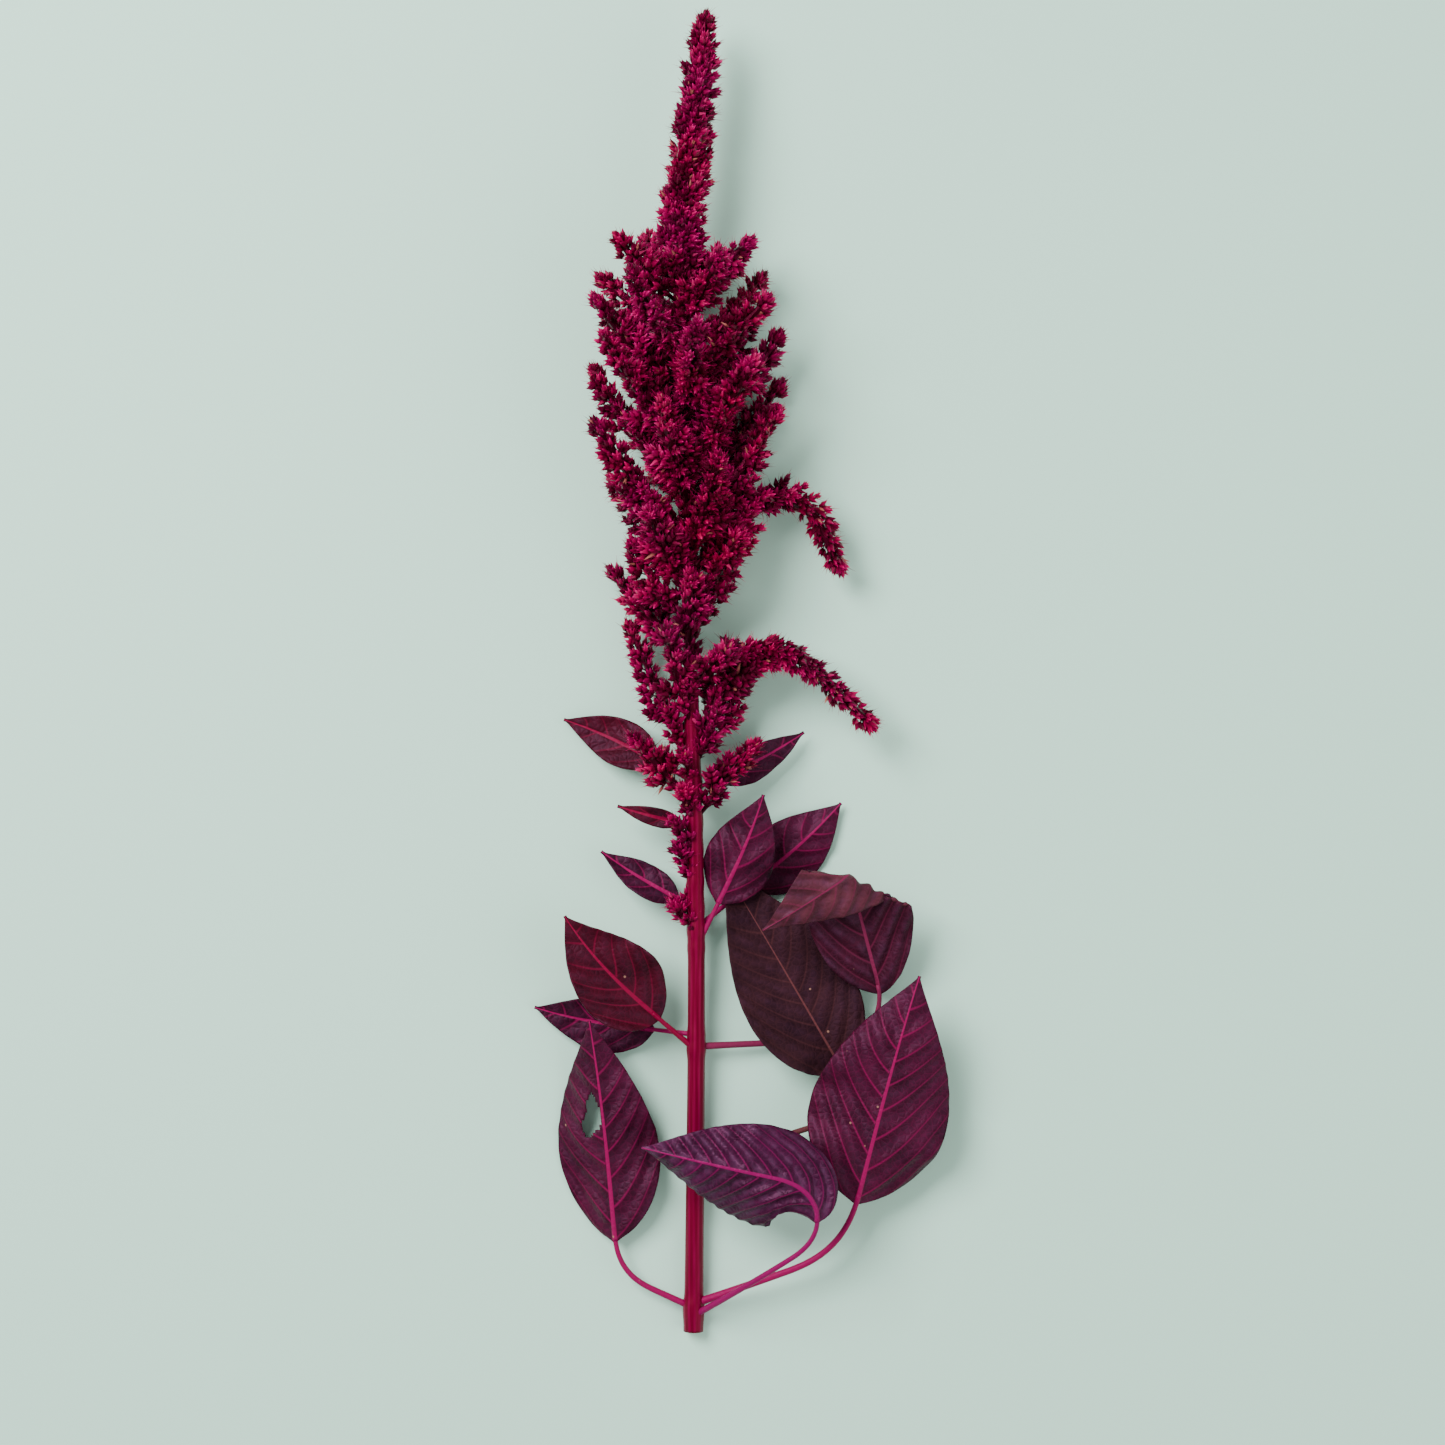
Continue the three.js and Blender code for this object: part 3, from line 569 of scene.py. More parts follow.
class Spray:
    """Gathers the florets, awns and cores of one piece, then makes its mesh."""

    def __init__(self, seed, context):
        self.rng = np.random.default_rng(seed)
        self.settings = context.scene.amaranth_florets
        self.parts = []
        self.count = 0

    def add(self, points, faces, tone, reach):
        tone, reach = (np.broadcast_to(value, len(points)) for value in (tone, reach))
        self.parts.append((points, faces + self.count, tone, reach))
        self.count += len(points)

    def scatter_form(self, form, feet, aims, lengths, halves, tones):
        """Copies of a closed form, each from its foot along its aim."""
        shape, faces = form
        n = len(feet)
        if n == 0:
            return
        side = unit(np.cross(aims, self.rng.normal(size=(n, 3))))
        other = np.cross(aims, side)
        points = feet[:, None]
        for way, sizes, k in ((aims, lengths, 2), (side, halves, 0), (other, halves, 1)):
            points = points + way[:, None] * (shape[None, :, k:k + 1] * sizes[:, None, None])
        faces = faces[None] + (np.arange(n) * len(shape))[:, None, None]
        reach = np.tile(shape[:, 2] / shape[:, 2].max(), n)
        self.add(points.reshape(-1, 3), faces.reshape(-1, 3), np.repeat(tones, len(shape)), reach)

    def florets(self, feet, aims, lengths, tones):
        """Closed and open florets, with the needles that most are drawn out to."""
        rng, count = self.rng, len(aims)
        halves = lengths * self.settings.slender * rng.uniform(*UNEVEN, count)
        # A few florets are lifted in tone: painted highlights
        painted_highlight = PAINTED_HIGHLIGHT_LIFT * (rng.uniform(size=count) < PAINTED_HIGHLIGHT_SHARE)
        tones = np.clip(tones + rng.normal(0, TONE_SPREAD, count) + painted_highlight, 0, TOP_TONE)
        dry = rng.uniform(size=count) < DRY_SHARE
        tones, halves = np.where(dry, DRY_TONE, tones), np.where(dry, halves * DRY_WIDTH, halves)
        opened = rng.uniform(size=count) < self.settings.opened
        for form, chosen, longer, wider in ((BUD, ~opened, 1, 1), (STAR, opened, OPEN_LENGTH, OPEN_WIDTH)):
            self.scatter_form(form, feet[chosen], aims[chosen], lengths[chosen] * longer,
                              halves[chosen] * wider, tones[chosen])
        awned = rng.uniform(size=count) < NEEDLE_SHARE
        needles = unit(aims[awned] + rng.normal(0, NEEDLE["stray"], (awned.sum(), 3)))
        lengths = lengths[awned] * rng.uniform(*NEEDLE["length"], len(needles))
        tones = np.clip(tones[awned] + NEEDLE["brighter"], 0, TOP_TONE)
        self.scatter_form(AWN, feet[awned] + aims[awned] * NEEDLE["start"], needles, lengths,
                          halves[awned] * NEEDLE["width"], tones)

    def whorl_aims(self, axes, whorl):
        """The aims of a whorl's florets, at angles to the axis of each branchlet."""
        rng, n = self.rng, len(axes)
        side = unit(np.cross(axes, rng.normal(size=(n, 3))))
        other = np.cross(axes, side)
        aims = []
        for angle, florets in whorl:
            start = rng.uniform(0, 2 * np.pi, n)
            for k in range(florets):
                polar = np.radians(angle + rng.normal(0, WHORL_STRAY["angle"], n))[:, None]
                around = start + 2 * np.pi * k / florets + rng.normal(0, WHORL_STRAY["around"], n)
                around = around[:, None]
                aims.append(axes * np.cos(polar)
                            + (side * np.cos(around) + other * np.sin(around)) * np.sin(polar))
        return np.stack(aims, axis=1).reshape(-1, 3)

    def branchlets(self, roots, tips, most=WHORLS, light=BRANCHLET_TONE):
        """Short side branches: whorls of florets on a thin stalk, from each tip back."""
        rng, count, size = self.rng, len(roots), self.settings.length / MM
        roots, tips = np.array(roots), np.array(tips)
        lengths = np.linalg.norm(tips - roots, axis=1)
        axes = unit(unit(tips - roots) + rng.normal(0, BRANCHLET_STRAY, roots.shape))
        stalk = BRANCHLET_STALK
        self.scatter_form(AWN, roots, axes, lengths * stalk["length"], np.full(count, stalk["radius"]),
                          np.full(count, stalk["tone"]))
        tones = rng.normal(light, BRANCHLET_TONE_SPREAD, count)
        grown = rng.uniform(*UNEVEN, count)
        back = FIRST_BACK * size * np.minimum(LEAST_BACK + lengths / SHORT_BRANCHLET, 1)
        for number in range(most):
            room = lengths - back > ROOM[number]
            if not room.any():
                break
            opened = min(NEXT_WHORL["angle"] + NEXT_WHORL["more"] * number, NEXT_WHORL["most"])
            whorl = TIP_WHORL if number == 0 else [(opened, NEXT_WHORL["florets"])]
            aims = self.whorl_aims(axes[room], whorl)
            owner = np.repeat(np.flatnonzero(room), len(aims) // room.sum())
            scale = min(WHORL_SIZE["first"] + WHORL_SIZE["more"] * number, WHORL_SIZE["most"])
            sizes = size * scale * grown[owner] * rng.uniform(*UNEVEN, len(owner))
            self.florets((tips - axes * back[:, None])[owner], aims, sizes, tones[owner])
            back = back + self.settings.whorl / MM

    def spike(self, line, build, envelope, stream, corners):
        """A spike on its core: branchlets that stand out, low ones between them, and those at its tip."""
        spots = spike_lattice(line, build, envelope, stream, corners)
        centres, frames, core = spots["centres"], spots["frames"], spots["core"]
        radii = core * np.where(core > THICK_CORE, THICK_CORE_SHARE, 1)
        # The core is coloured as painted shade
        self.add(*tube(centres, frames, radii, build["sides"]), CORE_PAINTED_SHADE_TONE, CORE_PAINTED_SHADE_REACH)
        self.branchlets(spots["roots"], spots["tips"])
        # The low branchlets are darker: painted shade between those that stand out
        self.branchlets(spots["low_roots"], spots["low_tips"], LOW_WHORLS, LOW_PAINTED_SHADE_TONE)
        forward, normal, binormal = (ways[-1] for ways in frames)
        around = np.radians([0, 120, 240])[:, None]
        across = np.cos(around) * normal + np.sin(around) * binormal
        end = centres[-1]
        beside = end + forward * END_ROUND["ahead"] + across * END_ROUND["aside"]
        self.branchlets([end - forward * END_ROOT] * 4, [end + forward * END_AHEAD, *beside])

    def make(self, name, node):
        """The piece's mesh, with flat facets as bracts have."""
        points, faces, tone, reach = (np.concatenate(arrays) for arrays in zip(*self.parts))
        material = bpy.data.materials.get(BRACTS) or floret_material(self.settings)
        make_mesh(name, points, faces, "florets", node, material, smooth=False, tone=tone, reach=reach)


def tuft_reach(corners, foot, way):
    """How far a floret is drawn out: the node has a corner on the line from its foot, if it has a tuft."""
    offset = corners - foot
    share = offset @ way / (way @ way)
    off = np.linalg.norm(offset - share[:, None] * way, axis=1)
    least, most = TUFT_REACHES
    off[(share < least) | (share > most)] = np.inf
    nearest = np.argmin(off)
    return share[nearest] if off[nearest] < TUFT_MISS else 0


def spike_lattice(line, build, envelope, stream, corners):
    """Where a spike's branchlets stand: their roots on its core and their tips, and the core's own radii."""
    columns, stalk = build["columns"], build["stalk"]
    bare_rows = 2 if build["bare"] > 0 else 0
    rows = max(round((line.length - build["bare"]) / build["pitch"]) + bare_rows, 4)
    frames = line.frames(rows)
    centres = line.at(np.linspace(0, 1, rows + 1))
    roots, tips, low_roots, low_tips, core = [], [], [], [], []
    rng = np.random.default_rng(stream)
    for row, (centre, tangent, normal, binormal) in enumerate(zip(centres, *frames)):
        full = max(envelope(row / rows), stalk)
        inner = max(full * CORE_SHARE, stalk * LEAST_CORE)
        core.append(stalk if row < bare_rows else CORE_END if row == rows else inner)
        if row <= bare_rows or row == rows:
            continue
        for column in range(columns):
            around = 2 * math.pi * column / columns
            out = normal * math.cos(around) + binormal * math.sin(around)
            root = centre + out * inner * ROOT_OUT - tangent * full * ROOT_BACK
            if (row + column) % 2:
                low_roots.append(root)
                low_tips.append(centre + out * full * LOW_SHARE + rng.normal(0, LOW_STRAY, 3))
                continue
            swell = 1 + TIP_SWELL * scatter(row * columns + column, stream)
            tip = centre + out * full * swell + tangent * (TIP_LEAN * line.length / rows)
            way = out + tangent * TUFT_LEAN
            reach = tuft_reach(corners, tip, way)
            grown = rng.choice(SHORT_OR_LONG, p=SHORT_OR_LONG_ODDS) * full + rng.normal(0, GROWN_STRAY)
            roots.append(root)
            tips.append(tip + way * reach if reach else tip + out * grown + rng.normal(0, TIP_STRAY, 3))
    return dict(roots=roots, tips=tips, low_roots=low_roots, low_tips=low_tips, core=np.array(core),
                centres=centres, frames=frames)


def side_spike(name, spec, stream, context):
    """One side spike: bare at its foot, soon full, and tapered to its tip."""
    line = growth_line(spec, spec["length"], 12, spec["radius"] * 0.8)

    def envelope(t):
        foot = smooth_step(BARE_FOOT, FULL_FOOT, t * spec["length"])
        full = FOOT_RADIUS + (1 - FOOT_RADIUS) * foot
        return spec["radius"] * full * (1 - spec.get("taper", SPIKE_TAPER) * t ** TAPER_POWER)

    spray = Spray(SIDE_SEED + stream, context)
    spray.spike(line, SIDE_BUILD, envelope, stream, node_corners(name))
    spray.make(f"{name}_florets", name)


def linear(colour):
    """A material's colour from its sRGB hex value."""
    parts = [int(colour[i:i + 2], 16) / 255 for i in (1, 3, 5)]
    return tuple(p / 12.92 if p <= 0.04045 else ((p + 0.055) / 1.055) ** 2.4 for p in parts)


def add_node(tree, kind, inputs=(), output=0, stops=(), **settings):
    """Adds a node and gives one of its outputs. Each input, in turn or by name, is a value or an output of
    another node that is linked to it. Stops are a colour ramp's."""
    made = tree.nodes.new(f"ShaderNode{kind}")
    for key, value in settings.items():
        setattr(made, key, value)
    for socket, value in inputs.items() if isinstance(inputs, dict) else enumerate(inputs):
        if isinstance(value, bpy.types.NodeSocket):
            tree.links.new(value, made.inputs[socket])
        else:
            made.inputs[socket].default_value = value
    for number, (place, colour) in enumerate(stops):
        ramp = made.color_ramp.elements
        element = ramp[number] if number < len(ramp) else ramp.new(1)
        element.position = place
        element.color = (*colour, 1)
    return made.outputs[output] if made.outputs else None


def new_material(name):
    """An empty material, with add_node for its own tree."""
    material = bpy.data.materials.new(name)
    material.use_nodes = True
    material.node_tree.nodes.clear()
    return material, functools.partial(add_node, material.node_tree)


# A MapRange's inputs are its value, then the ends of the range that it comes from and of the one that it goes
# to. Of a Mix node's sockets, input 0 is the share, 6 and 7 are the two colours, and output 2 is their mix.
def floret_material(settings):
    """Amaranth florets, grown as small papery bracts drawn out to points: painted shade, deep crimson, at
    their feet and in the depths, painted light on their shoulders, magenta points, and a few already faded to
    straw."""
    material, add = new_material(BRACTS)
    place = add("TexCoord", output="Object")
    tone, reach = (add("Attribute", output="Fac", attribute_name=name) for name in ("tone", "reach"))
    # Along each floret: painted shade at its foot, its body's colour, painted light on its shoulders, and its
    # own magenta point
    body = add("ValToRGB", [reach], stops=[
        (0.15, settings.shade), (0.5, settings.body), (0.8, settings.lit), (1.0, settings.tip)])
    # The head is lighter and darker over some 36 mm
    patches = add("TexNoise", {"Vector": place, "Scale": 1 / (35.714 * MM), "Detail": 2.0})
    spread = add("Math", [patches, 0.45], operation="MULTIPLY")
    drawn = add("Math", [tone, spread], operation="ADD")
    light = add("MapRange", [drawn, 0.3, 1.1, 0.3, 1.8])
    toned = add("VectorMath", {0: body, "Scale": light}, operation="SCALE")
    # The head goes from magenta to crimson and back over some 40 mm
    region = add("TexNoise", {"Vector": place, "Scale": 1 / (40 * MM), "Detail": 1.0})
    hue = add("MapRange", [region, 0.3, 0.7, 0.498, 0.515])
    shifted = add("HueSaturation", {"Hue": hue, "Color": toned})
    dry = add("Math", [tone, DRY_FROM], operation="GREATER_THAN")
    faded = add("Math", [dry, reach], operation="MULTIPLY")
    colour = add("Mix", {0: faded, 6: shifted, 7: (*settings.dry, 1)}, 2, data_type="RGBA")
    # Wrinkles of the papery bracts, 0.3 mm
    grain = add("TexNoise", {"Vector": place, "Scale": 1 / (0.6 * MM), "Detail": 2.0})
    bump = add("Bump", {"Height": grain, "Strength": 0.35, "Distance": 0.0003})
    surface = add("BsdfPrincipled", {
        "Base Color": colour, "Roughness": 0.34, "IOR": 1.45, "Normal": bump,
        "Specular Tint": (*linear("#ff4c90"), 1)})
    add("OutputMaterial", [surface])
    return material


def stem_material(settings):
    """Amaranth stem, grown as ribbed fleshy tissue with a thin skin: satin, with painted shade in its
    grooves, long paler streaks and a pale pith where it was cut."""
    material, add = new_material("Amaranth stem, ribbed skin")
    place = add("TexCoord", output="Object")
    groove, pith = (add("Attribute", output="Fac", attribute_name=name) for name in ("groove", "pith"))
    # Streaks some 1.4 mm wide and 45 mm long
    stretched = add("Mapping", {"Vector": place, "Scale": (1.0, 0.03, 1.0)})
    streaks = add("TexNoise", {"Vector": stretched, "Scale": 1 / (1.4 * MM), "Detail": 3.0})
    # The skin is darker in the grooves between its ribs: painted shade
    mixed = add("Math", [groove, 0.35], operation="MULTIPLY")
    amount = add("Math", [mixed, streaks], operation="ADD")
    skin = add("ValToRGB", [amount], stops=[
        (0.30, settings.groove), (0.62, settings.skin), (1.0, settings.streak)])
    cut = add("ValToRGB", [pith], stops=[
        (0.0, linear("#7d1038")), (0.2, linear("#a8496a")), (0.45, linear("#c99c86")),
        (1.0, linear("#d8c7a4"))])
    is_cut = add("Math", [pith, 0.01], operation="GREATER_THAN")
    colour = add("Mix", {0: is_cut, 6: skin, 7: cut}, 2, data_type="RGBA")
    bump = add("Bump", {"Height": streaks, "Strength": 0.12, "Distance": 0.0004})
    surface = add("BsdfPrincipled", {
        "Base Color": colour, "Roughness": 0.42, "IOR": 1.42, "Normal": bump,
        "Specular Tint": (*linear("#ff6c90"), 1)})
    add("OutputMaterial", [surface])
    return material


def leaf_material(name):
    """Amaranth leaf, grown as a thin quilted blade: satin on its upper face, duller under it, with magenta
    ribs that stand out of the underside."""
    finish = LEAF_FINISHES[name]
    upper, under, vein = ((*linear(finish[key]), 1) for key in ("upper", "under", "vein"))
    material, add = new_material(f"Amaranth leaf, {name}")
    place = add("TexCoord", output="Object")
    rib, phase, side, below = (add("Attribute", output="Fac", attribute_name=key)
                               for key in ("rib", "phase", "side", "underside"))
    # Side veins: a line where the phase is half way between whole numbers, fainter towards the edge
    cycle = add("Math", [phase], operation="FRACT")
    off = add("Math", [cycle, 0.5], operation="SUBTRACT")
    away = add("Math", [off], operation="ABSOLUTE")
    line = add("MapRange", [away, 0.085, 0.0, 0.0, finish["ink"]], interpolation_type="SMOOTHSTEP")
    faint = add("MapRange", [side, 0.0, 1.0, 1.0, 0.35])
    veins = add("Math", [line, faint], operation="MULTIPLY")
    midrib = add("MapRange", [rib, 1.0, 0.6, 0.0, 1.0], interpolation_type="SMOOTHSTEP")
    both = add("Math", [veins, midrib], operation="MAXIMUM")
    # Net of small veins, 3 mm cells that rise between them
    net = add("TexVoronoi", {"Vector": place, "Scale": 1 / (3 * MM)}, feature="DISTANCE_TO_EDGE")
    netting = add("MapRange", [net, 0.1, 0.0, 0.0, 0.1])
    lines = add("Math", [both, netting], operation="MAXIMUM")
    # Faces mottled over some 14 mm
    mottle = add("TexNoise", {"Vector": place, "Scale": 1 / (14 * MM), "Detail": 4.0})
    face = add("Mix", {0: below, 6: upper, 7: under}, 2, data_type="RGBA")
    shade = add("MapRange", [mottle, 0.25, 0.75, 0.4, 1.6])
    toned = add("VectorMath", {0: face, "Scale": shade}, operation="SCALE")
    # Painted sheen, lavender, on the raised panels between the side veins, patchy over 5 mm
    patchy = add("TexNoise", {"Vector": place, "Scale": 1 / (5 * MM), "Detail": 3.0})
    panel = add("MapRange", [away, 0.12, 0.5, 0.0, finish["wax"]])
    patch = add("MapRange", [patchy, 0.35, 0.7, 0.1, 1.0])
    wax = add("Math", [panel, patch], operation="MULTIPLY")
    painted_sheen_mix = add("Mix", {0: wax, 6: toned, 7: (*linear("#643a5c"), 1)}, 2, data_type="RGBA")
    inked = add("Mix", {0: lines, 6: painted_sheen_mix, 7: vein}, 2, data_type="RGBA")
    # Crumbs of dry florets, 1 mm, some 15 mm apart
    spots = add("TexVoronoi", {"Vector": place, "Scale": 1 / (15 * MM)})
    crumb = add("MapRange", [spots, 0.05, 0.03, 0.0, 0.7])
    colour = add("Mix", {0: crumb, 6: inked, 7: (*linear("#a87c68"), 1)}, 2, data_type="RGBA")
    # Fine crinkles, 4 mm
    crinkle = add("TexNoise", {"Vector": place, "Scale": 1 / (4 * MM), "Detail": 4.0})
    height = add("Math", [net, crinkle, 0.25], operation="MULTIPLY_ADD")
    bump = add("Bump", {"Height": height, "Strength": 0.7, "Distance": 0.0012})
    surface = add("BsdfPrincipled", {
        "Base Color": colour, "Roughness": finish["rough"], "IOR": 1.42, "Normal": bump,
        "Specular Tint": (*linear("#d08cb8"), 1)})
    add("OutputMaterial", [surface])
    return material


def floor_material(colour):
    """Painted board, rolled in matt emulsion: an even pale surface with almost no shine."""
    material, add = new_material("Matt emulsion, rolled")
    place = add("TexCoord", output="Object")
    # Stipple of the roller, 1.1 mm
    roller = add("TexNoise", {"Vector": place, "Scale": 1 / (1.1111 * MM), "Detail": 2.0})
    bump = add("Bump", {"Height": roller, "Strength": 0.06, "Distance": 0.0002})
    surface = add("BsdfPrincipled", {
        "Base Color": (*colour, 1), "Roughness": 0.85, "IOR": 1.45, "Normal": bump})
    add("OutputMaterial", [surface])
    return material


def colour_property(name, description, value):
    return bpy.props.FloatVectorProperty(name=name, description=description, subtype="COLOR", size=3,
                                         min=0, max=1, default=linear(value))


def length_property(name, description, value, least, most):
    """A length that is given here in millimetres."""
    return bpy.props.FloatProperty(name=name, description=description, unit="LENGTH",
                                   default=value * MM, min=least * MM, max=most * MM)


def share_property(name, description, value, least=0, most=1):
    return bpy.props.FloatProperty(name=name, description=description, subtype="FACTOR",
                                   default=value, min=least, max=most)


class FloretSettings(bpy.types.PropertyGroup):
    """Sizes and colours of the florets."""
    length: length_property("Length", "Of one floret", 6.2, 1, 10)
    slender: share_property("Slenderness", "Half a floret's width over its length", 0.245, 0.08, 0.5)
    whorl: length_property("Whorl spacing", "Between a branchlet's whorls", 2.7, 1, 6)
    opened: share_property("Opened", "Share of the florets that stand open", 0.12)
    # Depth is painted shade at the florets' feet and between them, and Shoulder is painted light on them
    shade: colour_property("Depth", "Colour in the depths between the florets", "#360016")
    body: colour_property("Body", "Colour of a floret's body", "#66002e")
    lit: colour_property("Shoulder", "Colour of its shoulders", "#860044")
    tip: colour_property("Point", "Colour of its points", "#cc0878")
    dry: colour_property("Dry", "Colour of the few dry florets", "#b07860")


class StemSettings(bpy.types.PropertyGroup):
    """Relief and colours of the stem."""
    ribs: bpy.props.IntProperty(name="Ribs", description="Ribs round the stem", default=11, min=5, max=24)
    depth: length_property("Groove depth", "Between two ribs", 0.12, 0, 1)
    # The groove colour is painted shade between the ribs
    groove: colour_property("Groove", "Colour between the ribs", "#520018")
    skin: colour_property("Skin", "Colour of the skin", "#660024")
    streak: colour_property("Streak", "Colour of its paler streaks", "#7c0038")


class LeafSettings(bpy.types.PropertyGroup):
    """Relief of the leaves."""
    quilting: length_property("Quilting", "Rise of the blade between its side veins", 0.9, 0, 3)
    vein_spacing: length_property("Vein spacing", "Between two side veins", 14, 3, 20)
    cell: length_property("Cell", "Size of the blade's mesh cells", 1.3, 0.6, 4)


class StageSettings(bpy.types.PropertyGroup):
    """The floor, the light and the camera."""
    floor: colour_property("Floor", "Colour of the pale floor", "#c9f4e0")
    brightness: bpy.props.FloatProperty(name="Light", description="Power of the main soft light in watts",
                                        default=74, min=0, max=500)
    view_width: length_property("View width", "Width of the view at the head's height", 722.5, 100, 3000)
    lens: bpy.props.FloatProperty(name="Lens", description="Focal length in millimetres", default=85,
                                  min=20, max=200)


class AMARANTH_OT_stem(bpy.types.Operator):
    """Makes the ribbed stem, swollen a little where leaves and spikes leave it, with its cut end"""
    bl_idname = "amaranth.stem"
    bl_label = "Stem"

    def execute(self, context):
        settings = context.scene.amaranth_stem
        rows, sides = 240, 66
        line = axis_line(0, STEM_LENGTH, 16)
        frames = line.frames(rows)
        centres = line.at(np.linspace(0, 1, rows + 1))
        y = np.linspace(0, STEM_LENGTH, rows + 1)[:, None]
        joints = np.array([spec["at"] for spec in [*LEAVES.values(), *AXIL_CLUSTERS]])
        swell = JOINT_SWELL["height"] * np.exp(-((y - joints) / JOINT_SWELL["reach"]) ** 2)
        swell = np.minimum(swell.sum(axis=1, keepdims=True), JOINT_SWELL["most"])
        twist = RIB_TWIST["angle"] * np.sin(y / RIB_TWIST["length"])
        rib = np.cos(settings.ribs * (2 * np.pi * np.arange(sides) / sides + twist)) * 0.5 + 0.5
        fade = 1 - RIB_FADE["share"] * smooth_step(RIB_FADE["start"], RIB_FADE["end"], y)
        plain = np.array([[along(STEM_RADIUS, place)] for place in y[:, 0]])
        radii = plain + swell - settings.depth / MM * (1 - rib ** RIB_POWER) * fade
        skin = rings_round(centres, frames, radii, sides)
        start, forward = centres[0], frames[0][0]
        cut = [start + forward * sunk + (skin[0] - start) * share for share, sunk in CUT_RINGS]
        points = np.vstack([*cut, skin.reshape(-1, 3), start + forward * CUT_MIDDLE, centres[-1]])
        # The rib value places the painted shade in the grooves; the cut face has none
        groove = np.concatenate([np.ones(len(cut) * sides), rib.ravel(), [1, 1]])
        depths = [1 - PITH_FADE * share for share, sunk in CUT_RINGS]
        pith = np.concatenate([np.repeat(depths, sides), np.zeros(rib.size), [1, 0]])
        make_mesh("stem_skin", points, ring_faces(rows + 1 + len(cut), sides), "stem", "stem",
                  stem_material(settings), groove=groove, pith=pith)
        return {"FINISHED"}


def axil_radius(t):
    """The radius along an axil cluster, which swells between its ends."""
    return AXIL_RADIUS * (AXIL_END + AXIL_SWELL * t - AXIL_SWELL * t * t)


class AMARANTH_OT_axil_clusters(bpy.types.Operator):
    """Makes the short flower clusters in the leaf axils of the stem"""
    bl_idname = "amaranth.axil_clusters"
    bl_label = "Axil clusters"

    def execute(self, context):
        spray = Spray(AXIL_SEED, context)
        corners = node_corners("stem")
        for stream, cluster in enumerate(AXIL_CLUSTERS, AXIL_STREAM):
            line = growth_line(cluster, AXIL_LENGTH, 4, AXIL_RADIUS)
            spray.spike(line, AXIL_BUILD, axil_radius, stream, corners)
        spray.make("stem_axil_florets", "stem")
        return {"FINISHED"}


class AMARANTH_OT_main_spike(bpy.types.Operator):
    """Makes the main spike: florets along the axis between the side spikes, and the end spike's branchlets"""
    bl_idname = "amaranth.main_spike"
    bl_label = "Main spike"

    def execute(self, context):
        spray = Spray(MAIN_SEED, context)
        corners = node_corners("main_spike")
        stretches = ((STEM_LENGTH + SEAT_GAP, HEAD_TOP, 16, INNER_BUILD, INNER_STREAM),
                     (END_SPIKE_FOOT, TIP, 12, END_BUILD, END_STREAM))
        for start, end, spans, build, stream in stretches:
            spray.spike(axis_line(start, end, spans), build,
                        lambda t: along(MAIN_SPIKE_RADIUS, start + t * (end - start)), stream, corners)
        spray.make("main_spike_florets", "main_spike")
        return {"FINISHED"}


class AMARANTH_OT_side_spikes(bpy.types.Operator):
    """Makes the side spikes that wind round the dense head"""
    bl_idname = "amaranth.side_spikes"
    bl_label = "Side spikes"

    def execute(self, context):
        for stream, (name, spec) in enumerate(head_spikes().items(), SIDE_STREAM):
            side_spike(name, spec, stream, context)
        return {"FINISHED"}


class AMARANTH_OT_odd_spikes(bpy.types.Operator):
    """Makes the two arching spikes and the small spikes low on the stem"""
    bl_idname = "amaranth.odd_spikes"
    bl_label = "Arching and low spikes"

    def execute(self, context):
        for stream, (name, spec) in enumerate(ODD_SPIKES.items(), SIDE_STREAM + len(head_spikes())):
            side_spike(name, spec, stream, context)
        return {"FINISHED"}


def blade_half_width(t, width):
    """Half the width of a blade along it: broad below the middle, drawn out to the stalk and to a point."""
    foot, point, narrowest = 0.7, 1.15, 0.8
    widest = foot / (foot + point)
    peak = widest ** foot * (1 - widest) ** point
    return np.maximum(width / 2 * (t ** foot * (1 - t) ** point) / peak, narrowest)


def leaf_line(spec):
    """The line of a leaf's stalk and rib, with the stalk's share of it."""
    length = spec["stalk"] + spec["blade"]
    share = spec["stalk"] / length
    lowest = BLADE_CLEARANCE + BLADE_THICKNESS + MIDRIB_HEIGHT
    turns = [share * turn for turn in spec.get("turns", LEAF_TURNS)]
    return growth_line({**spec, "turns": turns}, length, 24, lowest), share


def creased(grid, line, share, crease, across):
    """The blade's places once what lies beyond its crease has fallen over the rest."""
    place = share + (1 - share) * crease["share"]
    forward = line.forward(place)
    aside = across[round((len(across) - 1) * crease["share"])]
    slant, radius = math.radians(crease["slant"]), crease["radius"]
    over = forward * math.cos(slant) + aside * math.sin(slant)
    normal = np.cross(aside, forward)
    offset = grid - line.at(place)
    beyond, lift = offset @ over, offset @ normal
    bent = np.clip(beyond / radius, 0, math.radians(crease["angle"]))
    flat = beyond - bent * radius
    reach = (radius - lift) * np.sin(bent) + flat * np.cos(bent)
    rise = radius - (radius - lift) * np.cos(bent) + flat * np.sin(bent)
    return grid + over * (reach - beyond)[..., None] + normal * (rise - lift)[..., None]


